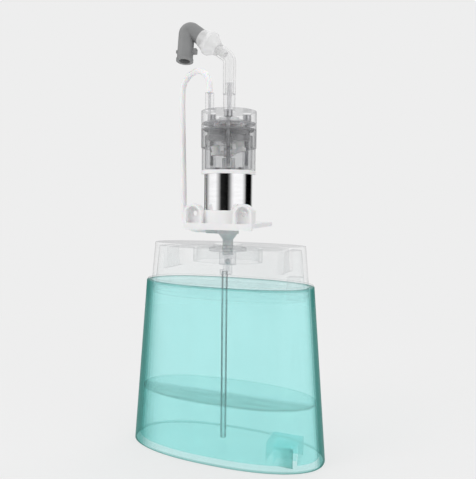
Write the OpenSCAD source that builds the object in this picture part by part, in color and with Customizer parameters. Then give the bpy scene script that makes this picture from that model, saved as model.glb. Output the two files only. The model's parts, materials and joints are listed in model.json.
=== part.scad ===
// Motorised liquid dispenser unit with its casing off: an oval tank with a
// clear lid, a suction valve and dip tube, and a plug-in pump on a bracket
// that feeds a swivelling spout. Millimetres, +Z up, +X along the tank's long
// side, origin at the centre of the tank's underside.

/* [Tank] */
// Width of the tank at its foot
tank_base_w = 104; // [90:1:125]
// Depth of the tank at its foot
tank_base_d = 46; // [38:1:56]
// Width of the tank at its rim
tank_rim_w = 90; // [80:1:110]
// Depth of the tank at its rim
tank_rim_d = 40; // [34:1:48]
// Height of the tank
tank_h = 86.2; // [60:0.1:110]
// Wall of the tank
tank_wall = 2.6; // [1.6:0.1:3.2]
// Thickness of the tank's floor
tank_floor = 2.6; // [1.6:0.1:4]
// Squareness of the oval plan, where 2 is an ellipse
plan_power = 2.3; // [2:0.1:3]
// Width of the locating pocket under the tank
pocket_w = 10; // [6:1:12]
// Depth of the locating pocket, front to back
pocket_d = 8; // [6:1:10]
// Height of the locating pocket
pocket_h = 9.5; // [5:0.5:12]
// Distance of the locating pocket from the middle of the tank, along its width
pocket_x = 34; // [24:1:34]
// Distance of the locating pocket in front of the middle of the tank
pocket_front = 7; // [0:1:7]

/* [Lid] */
// Height of the lid above the rim
lid_h = 20; // [16:0.5:26]
// Wall of the lid
lid_wall = 2; // [1.4:0.1:2.4]
// Inset of the lid's wall from the outside of the tank's rim
lid_inset = 2.8; // [2.2:0.1:3.2]
// How much the lid narrows on each side towards its top
lid_draft = 1.7; // [0.8:0.1:2.5]
// Thickness of the flange that lies on the rim
lid_flange_t = 1; // [0.8:0.1:1.6]
// Depth of the skirt that plugs into the tank
lid_skirt_h = 6.4; // [5:0.2:8]
// Gap between the skirt and the inside of the tank
lid_gap = 0.35; // [0.2:0.05:0.6]
// Height of the gasket on the skirt
gasket_h = 2.4; // [1.6:0.1:3]
// Gap between the gasket and the inside of the tank
gasket_gap = 0.12; // [0.08:0.01:0.2]
// Diameter of the opening in the lid for the suction spigot
lid_mouth_d = 14.6; // [12:0.2:16]
// Height of the collar and ribs that hang under the lid
collar_h = 7; // [5:0.5:9]

/* [Suction valve] */
// Outer diameter of the valve socket
socket_d = 8.6; // [8:0.1:10]
// Diameter of the flange that holds the socket under the lid
socket_flange_d = 19; // [17:0.5:21]
// Depth of the bore that takes the suction spigot
socket_bore_l = 3.8; // [3:0.1:5]
// Diameter of the check ball
ball_d = 3; // [2.6:0.1:3.2]
// Rise of the check ball off its seat
ball_rise = 0.9; // [0.6:0.1:1.2]
// Outer diameter of the dip tube
dip_d = 3; // [2.6:0.1:3.6]
// Wall of the dip tube
dip_wall = 0.6; // [0.4:0.05:0.8]
// Gap between the end of the dip tube and the tank's floor
dip_floor_gap = 2; // [1:0.5:6]
// Sideways offset of the dip tube from the valve
dip_offset = 1.6; // [0.8:0.1:2]

/* [Bracket] */
// Height of the bracket's plate above the lid
bracket_gap = 8.8; // [8:0.1:14]
// Thickness of the bracket's plate
plate_t = 2; // [1.6:0.1:3]
// Width of the bracket's plate
plate_w = 36; // [35:0.5:38]
// Reach of the plate in front of the motor's axis
plate_front = 15; // [14.4:0.1:17]
// Reach of the plate behind the motor's axis
plate_back = 20; // [15:0.5:26]
// Height of the ring that holds the motor
motor_ring_h = 6.3; // [4:0.1:10]
// Wall of the ring that holds the motor
motor_ring_wall = 1.8; // [1.2:0.1:2.2]
// Width of each ear
ear_w = 9.6; // [9:0.1:11]
// Height of each ear above the plate's underside
ear_h = 11.5; // [10:0.1:16]
// Thickness of each ear
ear_t = 4.5; // [3:0.1:5]
// Distance between the holes in the ears
ear_spacing = 26.2; // [26:0.1:26.4]
// Diameter of the hole in each ear
ear_hole_d = 2.6; // [2:0.1:3.4]
// Width of the rim around each ear's recess
ear_rim = 1.3; // [1:0.1:1.6]

/* [Suction spigot] */
// Diameter of the spigot that plugs into the valve socket
spigot_d = 5.4; // [5:0.1:5.8]
// Running clearance of the spigot in its socket, on the radius
spigot_gap = 0.08; // [0.05:0.01:0.1]
// Bore of the spigot and its side arm
spigot_bore_d = 1.8; // [1.4:0.1:2.2]
// Diameter of the spigot's body under the bracket
spigot_body_d = 11; // [9:0.2:12]
// Diameter of the side arm that takes the inlet hose
arm_d = 3.6; // [3.2:0.1:3.8]

/* [Motor] */
// Outer diameter of the motor can
motor_d = 24.4; // [23:0.1:24.8]
// Length of the motor, without its shaft
motor_l = 24.4; // [24:0.1:32]
// Sheet thickness of the motor can
can_t = 0.6; // [0.4:0.05:0.9]
// Diameter of the motor shaft
shaft_d = 2; // [1.5:0.1:2.4]
// Running clearance of the shaft in its bushings, on the radius
shaft_gap = 0.03; // [0.02:0.01:0.06]
// Diameter of the armature
armature_d = 17.2; // [14:0.2:18]
// Thickness of the magnets
magnet_t = 2.2; // [1.6:0.1:2.4]

/* [Pump] */
// Outer diameter of the pump's head
head_d = 27.8; // [26.8:0.1:30]
// Thickness of the plate between motor and pump
end_plate_t = 1.7; // [1.2:0.1:2.5]
// Height of the cam housing
cam_h = 11.4; // [11:0.1:14]
// Wall of the cam housing
cam_wall = 1.6; // [1.2:0.1:1.8]
// Height of the diaphragm frame
frame_h = 9.3; // [9:0.1:12]
// Thickness of the valve plate
valve_plate_t = 2.5; // [2:0.1:3.5]
// Thickness of the head seal
seal_t = 0.5; // [0.4:0.1:0.8]
// Height of the head cover
cover_h = 5.9; // [5.4:0.1:8]
// Distance of the diaphragm cups from the pump's axis
cup_ring_r = 7.2; // [7:0.1:7.4]
// Outer diameter of a diaphragm cup
cup_d = 8.4; // [7.6:0.1:8.6]
// Tilt of the wobble plate
wobble_tilt = 9; // [6:0.5:10]
// Height of the wobble plate's centre above the floor of the cam housing
wobble_rise = 9.1; // [8.8:0.1:9.4]
// Distance of the pump's screws from its axis
screw_ring_r = 10.4; // [10.2:0.1:10.8]
// Thread diameter of the pump's screws
pump_screw_d = 1.8; // [1.6:0.1:2]
// Height of the inlet and outlet bosses above the head
boss_h = 8.7; // [6:0.1:12]
// Diameter of the inlet boss
inlet_boss_d = 4.4; // [4:0.1:4.8]
// Diameter of the outlet boss
outlet_boss_d = 6; // [5:0.1:6.6]

/* [Spout] */
// Outer diameter of the clear outlet tube
outlet_d = 6.6; // [6:0.1:7.2]
// Wall of the outlet tube
outlet_wall = 1.1; // [0.8:0.05:1.3]
// Bend radius of the outlet tube's centre line
outlet_bend_r = 5; // [4.6:0.1:6]
// Height of the point where the spout's axis meets the pump's axis, above the bosses
spout_rise = 18; // [15:0.1:24]
// Slope of the spout's swivel axis above level
spout_slope = 36; // [30:1:45]
// Distance of the elbow's collar from the pump's axis, along the slope
spout_reach = 19.2; // [18.6:0.1:24]
// Outer diameter of the elbow
elbow_d = 8.15; // [7.6:0.05:9]
// Bore of the elbow's leg
elbow_bore_d = 6.2; // [6:0.1:6.6]
// Bore of the spout's mouth, which takes a nozzle tip
mouth_seat_d = 5.6; // [5:0.1:5.8]
// Depth of that bore
mouth_seat_l = 10; // [8:0.5:12]
// Bend radius of the elbow's centre line
elbow_bend_r = 2; // [1.6:0.1:2.4]
// Length of the elbow's collar
collar_l = 6.1; // [5.6:0.1:9]
// Length of the elbow's leg
leg_l = 14.3; // [10:0.1:20]
// Turn of the elbow about its swivel axis, towards the front
spout_turn = 12.5; // [0:0.5:30]
// Running clearance of the connector in the elbow, on the radius
swivel_gap = 0.05; // [0.03:0.01:0.1]
// Diameter of the connector's flange
flange_d = 12.4; // [11:0.1:14]

/* [Inlet hose] */
// Outer diameter of the inlet hose
hose_d = 2.9; // [2.6:0.1:3]

/* [Hidden] */
$fn = 64;

plan_steps = 96;
eps = 0.01;

// Heights of the stack, from the tank up
lid_top = tank_h + lid_h;
flange_top = tank_h + lid_flange_t;
socket_top = lid_top - lid_wall;
socket_flange_t = 1.6;
ledge_t = 0.8;
ledge_z = socket_top - socket_bore_l - ledge_t;
seat_r = 1;
ball_r = ball_d / 2;
ball_on_seat = sqrt(ball_r * ball_r - seat_r * seat_r);
ball_stop_gap = 0.08;
seat_z = ledge_z - ball_rise - ball_stop_gap - ball_on_seat - ball_r;
chamber_r = ball_r + 0.4;
socket_foot = seat_z - 0.4;
cap_neck_l = 5.2;
cap_foot = socket_foot - cap_neck_l;
cap_foot_h = 2.4;
dip_grip = 1.6;

bracket_z = lid_top + bracket_gap;
motor_z = bracket_z + plate_t;
motor_top = motor_z + motor_l;
cam_z = motor_top + end_plate_t;
frame_z = cam_z + cam_h;
sheet_t = 0.8;
valve_z = frame_z + frame_h;
seal_z = valve_z + valve_plate_t;
cover_z = seal_z + seal_t;
head_top = cover_z + cover_h;
boss_top = head_top + boss_h;

// Motor
can_r = motor_d / 2;
can_in_r = can_r - can_t;
end_flange_t = 1;
end_plug_h = 2.5;
bushing_r = 3;
bushing_h = 2.6;
core_z = motor_z + 7.4;
core_h = 11.6;
comm_r = 2.3;
comm_h = 2.8;
comm_z = motor_z + end_flange_t + end_plug_h + 0.2;
end_screw_y = 8;
end_screw_d = 1.8;
screw_head_r = 1.9;
terminal_x = 5.5;
terminal_y = 6.2;
plate_screw_x = 6.5;

// Pump
head_r = head_d / 2;
cam_r = head_r - 0.3;
cam_in_r = cam_r - cam_wall;
cam_floor_t = 1;
frame_in_r = head_r - 1.9;
cup_angles = [-10, 110, 230];
screw_angles = [50, 170, 290];
pillar_r = 2.1;
screw_clear = 0.15;
wobble_z = cam_z + wobble_rise;
arm_r = 2.6;
wobble_t = 1.6;
wobble_boss_r = 2.2;
pin_r = 0.6;
hub_r = 3.3;
hub_z = cam_z + cam_floor_t + 0.3;
hub_h = 5;
shaft_top = hub_z + 1.8;
pin_bottom = 5.4;
pin_top = 2.6;
stem_r = 1.9;
stem_h = 3.1;
cup_depth = 5.1;
cup_wall = 0.7;
frame_plate_t = 2.6;
valve_disc_t = 0.5;
inlet_disc_r = 2.8;
outlet_disc_r = 4.6;
outlet_chamber_r = 5;
inlet_chamber_in_r = outlet_chamber_r + 0.9;
inlet_chamber_r = 8.3;
chamber_h = 1.5;
outlet_chamber_h = 3;
pocket_floor = 2;
screw_head_h = 3;
inlet_x = -8.2;
inlet_y = -5.8;
inlet_bore_d = 1.4;
outlet_bore_d = 2.2;
outlet_nib_h = 5.5;

// Spout
outlet_in_r = outlet_d / 2 - outlet_wall;
outlet_steps = 9;
outlet_sides = 24;
tube_fit_r = outlet_in_r * cos(180 / outlet_sides);
elbow_r = elbow_d / 2;
spout_z = boss_top + spout_rise;
elbow_turn = 90 + spout_slope;
tube_turn = 90 - spout_slope;
tube_tangent = outlet_bend_r * tan(tube_turn / 2);
barb_l = 5;
barb_end = spout_reach - tube_tangent - 0.1;
o_ring_section = 0.45;
o_ring_gap = 0.03;
nose_r = 3;
nose_l = 5;
nose_ring_r = nose_r + swivel_gap - o_ring_gap - o_ring_section;

// Route of the inlet hose, from the spigot's arm to the head's inlet boss
hose_route = [
    [-12, 0, 113], [-14.5, 0, 113], [-17.2, 0, 113], [-19.4, 0, 113.3], [-21.2, 0, 114],
    [-22.8, 0, 115.1], [-23.9, 0, 116.6], [-24.6, 0, 118.3], [-24.9, 0, 120.4],
    [-25.1, 0, 128], [-25.2, 0, 136], [-25.4, 0, 144], [-25.6, 0, 152], [-25.8, 0, 160],
    [-26, 0, 168], [-26.2, 0.2, 175], [-26.3, 0.4, 181], [-26.3, 0.6, 184.8], [-25.6, 0.7, 188.1],
    [-23.7, 0.5, 190.9], [-20.9, -0.3, 192.8], [-17.4, -1.9, 193.5], [-13.9, -3.6, 192.9],
    [-11, -4.9, 191], [-9, -5.6, 188.2], [-8.2, -5.8, 184.8], [-8.2, -5.8, 181.4]
];

function plan_points(w, d) = [
    for (i = [0 : plan_steps - 1])
        let (t = 360 * i / plan_steps, c = cos(t), s = sin(t))
            [w / 2 * sign(c) * pow(abs(c), 2 / plan_power), d / 2 * sign(s) * pow(abs(s), 2 / plan_power)]
];
function tank_w(z) = tank_base_w + (tank_rim_w - tank_base_w) * z / tank_h;
function tank_d(z) = tank_base_d + (tank_rim_d - tank_base_d) * z / tank_h;

// An oval prism whose sides lean from w0 x d0 at its foot to w1 x d1 at its top
module oval_cone(w0, d0, w1, d1, h) {
    linear_extrude(height = h, scale = [w1 / w0, d1 / d0], slices = 1) polygon(plan_points(w0, d0));
}

module oval_ring(w, d, wall, h) {
    linear_extrude(height = h) difference() {
        polygon(plan_points(w, d));
        polygon(plan_points(w - 2 * wall, d - 2 * wall));
    }
}

module ring(r_out, r_in, h) {
    linear_extrude(height = h) difference() {
        circle(r = r_out);
        circle(r = r_in);
    }
}

module torus(r, section_r) {
    rotate_extrude() translate([r, 0]) circle(r = section_r, $fn = 24);
}

module at_angles(angles, r) {
    for (a = angles) rotate([0, 0, a]) translate([r, 0, 0]) children();
}

// Puts local +Z along the spout's swivel axis, with local 0 at the elbow's collar end
module on_spout() {
    translate([0, 0, spout_z]) rotate([0, -tube_turn, 0]) translate([0, 0, spout_reach]) children();
}

module on_wobble() {
    translate([0, 0, wobble_z]) rotate([0, -wobble_tilt, 0]) children();
}

module tank_body() {
    over = 1;
    pocket_y = -pocket_front - pocket_d / 2;
    color([0.66, 0.93, 0.92, 0.6]) difference() {
        union() {
            difference() {
                oval_cone(tank_base_w, tank_base_d, tank_rim_w, tank_rim_d, tank_h);
                translate([0, 0, tank_floor])
                    oval_cone(tank_w(tank_floor) - 2 * tank_wall, tank_d(tank_floor) - 2 * tank_wall,
                        tank_w(tank_h + over) - 2 * tank_wall, tank_d(tank_h + over) - 2 * tank_wall,
                        tank_h + over - tank_floor);
            }
            translate([pocket_x - pocket_w / 2 - tank_wall, pocket_y - tank_wall, tank_floor / 2])
                cube([pocket_w + 2 * tank_wall, pocket_d + 2 * tank_wall, pocket_h - tank_floor / 2 + tank_wall]);
        }
        translate([pocket_x - pocket_w / 2, pocket_y, -1]) cube([pocket_w, pocket_d, pocket_h + 1]);
    }
}

lid_w = tank_rim_w - 2 * lid_inset;
lid_d = tank_rim_d - 2 * lid_inset;
skirt_w = tank_rim_w - 2 * tank_wall - 2 * lid_gap;
skirt_d = tank_rim_d - 2 * tank_wall - 2 * lid_gap;
skirt_wall = 1.8;
gasket_w = tank_rim_w - 2 * tank_wall - 2 * gasket_gap;
gasket_d = tank_rim_d - 2 * tank_wall - 2 * gasket_gap;
gasket_t = 0.9;
gasket_z = tank_h - lid_skirt_h + 2;
lid_collar_w = 36;
lid_collar_d = lid_d - 2 * lid_draft - 2 * lid_wall - 2;
rib_x = 31;
rib_t = 2.6;
rib_h = collar_h + 4;
post_w = 6.5;

module lid_shell() {
    inner_h = lid_top - lid_wall - flange_top;
    color([0.95, 0.96, 0.97, 0.4]) difference() {
        union() {
            difference() {
                union() {
                    translate([0, 0, tank_h])
                        linear_extrude(height = lid_flange_t)
                            polygon(plan_points(tank_rim_w - 1, tank_rim_d - 1));
                    translate([0, 0, flange_top])
                        oval_cone(lid_w, lid_d, lid_w - 2 * lid_draft, lid_d - 2 * lid_draft, lid_top - flange_top);
                }
                translate([0, 0, tank_h - 1])
                    linear_extrude(height = 1 + lid_flange_t)
                        polygon(plan_points(lid_w - 2 * lid_wall, lid_d - 2 * lid_wall));
                translate([0, 0, flange_top - eps])
                    oval_cone(lid_w - 2 * lid_wall, lid_d - 2 * lid_wall, lid_w - 2 * lid_draft - 2 * lid_wall,
                        lid_d - 2 * lid_draft - 2 * lid_wall, inner_h + eps);
            }
            translate([0, 0, tank_h - lid_skirt_h]) oval_ring(skirt_w, skirt_d, skirt_wall, lid_skirt_h + eps);
            translate([0, 0, socket_top - collar_h]) oval_ring(lid_collar_w, lid_collar_d, 1.6, collar_h + eps);
            intersection() {
                for (side = [-1, 1])
                    translate([side * rib_x - rib_t / 2, -lid_d / 2, socket_top - rib_h])
                        cube([rib_t, lid_d, rib_h + eps]);
                translate([0, 0, flange_top])
                    oval_cone(lid_w - lid_wall, lid_d - lid_wall, lid_w - 2 * lid_draft - lid_wall,
                        lid_d - 2 * lid_draft - lid_wall, lid_top - flange_top);
            }
            translate([rib_x + rib_t / 2, -post_w / 2, tank_h - lid_skirt_h])
                cube([skirt_w / 2 - skirt_wall / 2 - rib_x - rib_t / 2, post_w, lid_skirt_h + 5]);
        }
        translate([0, 0, socket_top - 1]) cylinder(d = lid_mouth_d, h = lid_wall + 2);
        translate([0, 0, gasket_z])
            linear_extrude(height = gasket_h) difference() {
                polygon(plan_points(skirt_w + 4, skirt_d + 4));
                polygon(plan_points(gasket_w - 2 * gasket_t, gasket_d - 2 * gasket_t));
            }
    }
}

module lid_gasket() {
    color([0.9, 0.9, 0.9]) translate([0, 0, gasket_z]) oval_ring(gasket_w, gasket_d, gasket_t, gasket_h);
}

module valve_socket() {
    bore_r = spigot_d / 2 + spigot_gap;
    color([0.88, 0.89, 0.9]) difference() {
        union() {
            translate([0, 0, socket_foot]) cylinder(d = socket_d, h = socket_top - socket_foot);
            translate([0, 0, socket_top - socket_flange_t]) cylinder(d = socket_flange_d, h = socket_flange_t);
        }
        translate([0, 0, socket_top - socket_bore_l]) cylinder(r = bore_r, h = socket_bore_l + 1);
        translate([0, 0, socket_foot - 1]) cylinder(r = chamber_r, h = ledge_z - socket_foot + 1);
        translate([0, 0, ledge_z - 1]) cylinder(r = ball_r - 0.5, h = ledge_t + 2);
        translate([-chamber_r + 0.1, -0.4, ledge_z - 1]) cube([2 * chamber_r - 0.2, 0.8, ledge_t + 2]);
    }
}

module valve_cap() {
    neck_r = 2.3;
    foot_r = dip_d / 2 + 1;
    color([0.8, 0.81, 0.83]) difference() {
        union() {
            translate([0, 0, socket_foot]) cylinder(r = chamber_r, h = seat_z - socket_foot);
            translate([0, 0, cap_foot]) cylinder(r = neck_r, h = socket_foot - cap_foot);
            hull() {
                translate([-dip_offset, 0, cap_foot]) cylinder(r = foot_r, h = cap_foot_h);
                translate([0, 0, cap_foot]) cylinder(r = neck_r, h = cap_foot_h);
            }
        }
        translate([0, 0, cap_foot + dip_grip]) cylinder(r = seat_r, h = seat_z);
        translate([-dip_offset, 0, cap_foot - 1]) cylinder(d = dip_d, h = 1 + dip_grip);
    }
}

module valve_ball() {
    color([0.75, 0.76, 0.78]) translate([0, 0, seat_z + ball_on_seat]) sphere(r = ball_r);
}

module dip_tube() {
    foot = tank_floor + dip_floor_gap;
    color([0.9, 0.93, 0.94]) translate([-dip_offset, 0, foot])
        ring(dip_d / 2, dip_d / 2 - dip_wall, cap_foot + dip_grip - foot);
}

module ear_outline(margin) {
    r = ear_w / 2 - margin;
    translate([0, ear_h - ear_w / 2]) circle(r = r);
    translate([-r, margin]) square([2 * r, ear_h - ear_w / 2 - margin]);
}

hole_z = bracket_z + ear_h - ear_w / 2;
ear_web = 1.2;

module ear() {
    difference() {
        rotate([90, 0, 0]) translate([0, 0, -ear_t]) linear_extrude(height = ear_t) ear_outline(0);
        rotate([90, 0, 0]) translate([0, 0, -ear_t + ear_web])
            linear_extrude(height = ear_t) ear_outline(ear_rim);
        translate([0, -1, ear_h - ear_w / 2]) rotate([-90, 0, 0]) cylinder(d = ear_hole_d, h = ear_t + 2);
    }
}

module pump_bracket() {
    corner = 2.5;
    skirt_h = 1.2;
    ring_r = can_r + 0.1;
    color([0.95, 0.95, 0.95]) difference() {
        union() {
            translate([0, 0, bracket_z]) linear_extrude(height = plate_t) difference() {
                union() {
                    translate([-plate_w / 2, -plate_front]) square([plate_w, plate_front]);
                    translate([-plate_w / 2, 0]) square([plate_w, plate_back - corner]);
                    translate([corner - plate_w / 2, 0]) square([plate_w - 2 * corner, plate_back]);
                    for (side = [-1, 1])
                        translate([side * (plate_w / 2 - corner), plate_back - corner]) circle(r = corner);
                }
                circle(r = spigot_d / 2 + 0.6);
                for (side = [-1, 1]) {
                    translate([0, side * end_screw_y]) circle(d = end_screw_d + 0.3);
                    translate([side * terminal_x, terminal_y]) square([3, 1.6], center = true);
                }
            }
            translate([0, 0, motor_z - eps]) ring(ring_r + motor_ring_wall, ring_r, motor_ring_h + eps);
            translate([-plate_w / 2, -plate_front, bracket_z - skirt_h]) cube([plate_w, 1.4, skirt_h + eps]);
            for (side = [-1, 1]) translate([side * ear_spacing / 2, -plate_front, bracket_z]) ear();
        }
        translate([0, 0, motor_z + eps]) cylinder(r = ring_r, h = 40);
    }
}

module bracket_screws() {
    color([0.6, 0.6, 0.62]) for (side = [-1, 1]) translate([0, side * end_screw_y, 0]) difference() {
        union() {
            translate([0, 0, bracket_z - 1.3]) cylinder(r = screw_head_r, h = 1.3);
            translate([0, 0, bracket_z - eps]) cylinder(d = end_screw_d, h = plate_t + 2.4 + eps);
        }
        for (a = [0, 90]) translate([0, 0, bracket_z - 1.3]) rotate([0, 0, a]) cube([2.2, 0.5, 1.2], center = true);
    }
}

module suction_spigot() {
    arm_z = hose_route[0][2];
    arm_tip = hose_route[0][0];
    foot = socket_top - socket_bore_l + 0.2;
    neck_top = bracket_z - 6.6;
    body_z = bracket_z - 3.6;
    color([0.68, 0.69, 0.71]) difference() {
        union() {
            translate([0, 0, foot]) cylinder(d = spigot_d, h = neck_top - foot + eps);
            translate([0, 0, neck_top])
                cylinder(r1 = spigot_d / 2, r2 = spigot_body_d / 2 - 0.6, h = body_z - neck_top);
            translate([0, 0, body_z]) cylinder(d = spigot_body_d, h = bracket_z - body_z);
            translate([0, 0, bracket_z - eps]) cylinder(r = spigot_d / 2 + 0.6, h = plate_t - 0.4);
            translate([arm_tip, 0, arm_z]) rotate([0, 90, 0]) cylinder(d = arm_d, h = -arm_tip);
        }
        translate([0, 0, foot - 1]) cylinder(d = spigot_bore_d, h = arm_z - foot + 1);
        translate([arm_tip - 1, 0, arm_z]) rotate([0, 90, 0]) cylinder(d = spigot_bore_d, h = 1 - arm_tip);
        spigot_ring();
    }
}

// The ring that seals the spigot in its socket, which also cuts its own groove
module spigot_ring() {
    r_out = spigot_d / 2 + spigot_gap - o_ring_gap;
    translate([0, 0, socket_top - socket_bore_l / 2]) torus(r_out - o_ring_section, o_ring_section);
}

module spigot_o_ring() {
    color([0.25, 0.25, 0.27]) spigot_ring();
}

module motor_can() {
    foot = motor_z + end_flange_t;
    color([0.8, 0.8, 0.82]) difference() {
        union() {
            translate([0, 0, foot]) cylinder(r = can_r, h = motor_top - foot);
            translate([0, 0, motor_top - eps]) cylinder(r = bushing_r + 0.6, h = 1.2 + eps);
        }
        translate([0, 0, foot - 1]) cylinder(r = can_in_r, h = motor_top - foot + 1 - 2 * can_t);
        translate([0, 0, motor_top - 5]) cylinder(r = bushing_r, h = 10);
        for (side = [-1, 1]) translate([side * plate_screw_x, 0, motor_top - 5]) cylinder(d = 1.6, h = 10);
    }
}

module motor_end_cap() {
    color([0.15, 0.15, 0.16]) difference() {
        union() {
            translate([0, 0, motor_z]) cylinder(r = can_r - 0.3, h = end_flange_t);
            translate([0, 0, motor_z]) cylinder(r = can_in_r, h = end_flange_t + end_plug_h);
        }
        translate([0, 0, motor_z - 1]) cylinder(r = bushing_r, h = 20);
        for (side = [-1, 1]) {
            translate([0, side * end_screw_y, motor_z - 1]) cylinder(d = end_screw_d, h = 3.4);
            translate([side * terminal_x, terminal_y, motor_z + 5]) cube([2, 0.6, 20], center = true);
        }
    }
}

module motor_terminals() {
    color([0.8, 0.66, 0.35]) for (side = [-1, 1])
        translate([side * terminal_x - 1, terminal_y - 0.3, bracket_z - 1.8]) difference() {
            cube([2, 0.6, motor_z + 3 - bracket_z + 1.8]);
            translate([1, -1, 1.2]) rotate([-90, 0, 0]) cylinder(r = 0.4, h = 3);
        }
}

module motor_brushes() {
    gap = 0.05;
    tip = comm_r + gap;
    color([0.3, 0.28, 0.27]) for (side = [-1, 1]) {
        translate([side > 0 ? tip : -tip - 1.4, -1, comm_z + 0.6]) cube([1.4, 2, 1.6]);
        translate([side > 0 ? tip + 1.4 : -tip - 1.7, -1.2, comm_z - 0.2]) cube([0.3, 2.4, 2.4]);
    }
}

module motor_magnets() {
    span = 130;
    color([0.35, 0.35, 0.38]) for (a = [0, 180]) translate([0, 0, core_z - 1]) rotate([0, 0, a - span / 2])
        rotate_extrude(angle = span) translate([can_in_r - magnet_t, 0]) square([magnet_t, core_h + 2]);
}

module motor_bushings() {
    r_in = shaft_d / 2 + shaft_gap;
    color([0.7, 0.55, 0.35]) {
        translate([0, 0, motor_z + 0.4]) ring(bushing_r, r_in, bushing_h);
        translate([0, 0, motor_top - 1.4]) ring(bushing_r, r_in, bushing_h);
    }
}

module motor_shaft() {
    color([0.7, 0.7, 0.72]) translate([0, 0, motor_z + 0.5]) cylinder(d = shaft_d, h = shaft_top - motor_z - 0.5);
}

module armature_core() {
    pole_w = 3.4;
    r = armature_d / 2;
    color([0.45, 0.45, 0.48]) translate([0, 0, core_z]) linear_extrude(height = core_h) difference() {
        union() {
            circle(r = 2.6);
            for (a = [0, 120, 240]) rotate(a) {
                translate([0, -pole_w / 2]) square([r - 1, pole_w]);
                intersection() {
                    difference() {
                        circle(r = r);
                        circle(r = r - 1.6);
                    }
                    translate([0, -r * 0.72]) square([r, r * 1.44]);
                }
            }
        }
        circle(d = shaft_d);
    }
}

module armature_windings() {
    r = armature_d / 2;
    color([0.75, 0.4, 0.2]) translate([0, 0, core_z - 1.2]) for (a = [0, 120, 240]) rotate([0, 0, a])
        difference() {
            translate([3, -3, 0]) cube([r - 5.6, 6, core_h + 2.4]);
            translate([2, -1.7, 1.2]) cube([r, 3.4, core_h]);
        }
}

module commutator() {
    gap = 0.4;
    color([0.72, 0.45, 0.25]) translate([0, 0, comm_z]) linear_extrude(height = comm_h) difference() {
        circle(r = comm_r);
        circle(d = shaft_d);
        for (a = [60, 180, 300]) rotate(a) translate([shaft_d / 2 + 0.5, -gap / 2]) square([2, gap]);
    }
}

module wobble_hub() {
    color([0.93, 0.93, 0.93]) difference() {
        translate([0, 0, hub_z]) cylinder(r = hub_r, h = hub_h);
        translate([0, 0, hub_z - 1]) cylinder(d = shaft_d, h = shaft_top - hub_z + 1);
        on_wobble() translate([0, 0, -pin_bottom]) cylinder(r = pin_r, h = pin_bottom);
    }
}

module wobble_pin() {
    color([0.75, 0.75, 0.78]) on_wobble() translate([0, 0, -pin_bottom]) cylinder(r = pin_r, h = pin_bottom + pin_top);
}

module wobble_plate() {
    pin_gap = 0.04;
    color([0.97, 0.97, 0.97]) on_wobble() difference() {
        union() {
            translate([0, 0, -wobble_t / 2]) linear_extrude(height = wobble_t) {
                circle(r = 4.4);
                for (a = cup_angles) rotate(a) {
                    translate([0, -2]) square([cup_ring_r, 4]);
                    translate([cup_ring_r, 0]) circle(r = arm_r);
                }
            }
            translate([0, 0, -1.8]) cylinder(r = wobble_boss_r, h = 4);
        }
        translate([0, 0, -5]) cylinder(r = pin_r + pin_gap, h = 10);
    }
}

module piston_stems() {
    color([0.9, 0.9, 0.91]) on_wobble() at_angles(cup_angles, cup_ring_r) {
        translate([0, 0, wobble_t / 2]) cylinder(r1 = stem_r, r2 = stem_r + 0.5, h = stem_h);
    }
}

module motor_plate() {
    color([0.96, 0.96, 0.96]) translate([0, 0, motor_top]) linear_extrude(height = end_plate_t) difference() {
        circle(r = head_r - 0.1);
        circle(r = bushing_r + 0.7);
        for (side = [-1, 1]) translate([side * plate_screw_x, 0]) circle(d = 1.9);
    }
}

module plate_screws() {
    head_h = 0.8;
    color([0.7, 0.7, 0.72]) for (side = [-1, 1]) translate([side * plate_screw_x, 0, 0]) difference() {
        union() {
            translate([0, 0, cam_z + cam_floor_t]) cylinder(r = 1.5, h = head_h);
            translate([0, 0, motor_top - 2.6]) cylinder(d = 1.6, h = cam_z + cam_floor_t - motor_top + 2.6 + eps);
        }
        translate([0, 0, cam_z + cam_floor_t + head_h]) cube([2, 0.4, 0.8], center = true);
    }
}

module cam_housing() {
    color([0.87, 0.88, 0.89, 0.5]) translate([0, 0, cam_z]) difference() {
        union() {
            difference() {
                cylinder(r = cam_r, h = cam_h);
                translate([0, 0, cam_floor_t]) cylinder(r = cam_in_r, h = cam_h);
            }
            intersection() {
                at_angles(screw_angles, screw_ring_r) cylinder(r = pillar_r, h = cam_h);
                cylinder(r = cam_r - 0.2, h = cam_h);
            }
        }
        translate([0, 0, -1]) cylinder(r = 2.4, h = 4);
        for (side = [-1, 1]) translate([side * plate_screw_x, 0, -1]) cylinder(d = 1.9, h = 4);
        at_angles(screw_angles, screw_ring_r) translate([0, 0, cam_floor_t + 1]) cylinder(d = pump_screw_d, h = cam_h);
    }
}

module diaphragm_frame() {
    clear_d = pump_screw_d + 2 * screw_clear;
    slot_angle = -34;
    color([0.66, 0.67, 0.68]) translate([0, 0, frame_z]) difference() {
        union() {
            difference() {
                cylinder(r = head_r, h = frame_h);
                translate([0, 0, -1]) cylinder(r = frame_in_r, h = frame_h - sheet_t - frame_plate_t + 1);
            }
            intersection() {
                at_angles(screw_angles, screw_ring_r) cylinder(r = pillar_r, h = frame_h - sheet_t);
                cylinder(r = head_r - 0.2, h = frame_h);
            }
        }
        translate([0, 0, frame_h - sheet_t]) cylinder(r = head_r - 1.4, h = frame_h);
        at_angles(cup_angles, cup_ring_r) cylinder(d = cup_d + 0.4, h = frame_h + 1);
        at_angles(screw_angles, screw_ring_r) translate([0, 0, -1]) cylinder(d = clear_d, h = frame_h + 2);
        rotate([0, 0, slot_angle]) translate([frame_in_r - 1, -0.7, -1])
            cube([5, 1.4, frame_h - sheet_t - frame_plate_t + 1]);
    }
}

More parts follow.
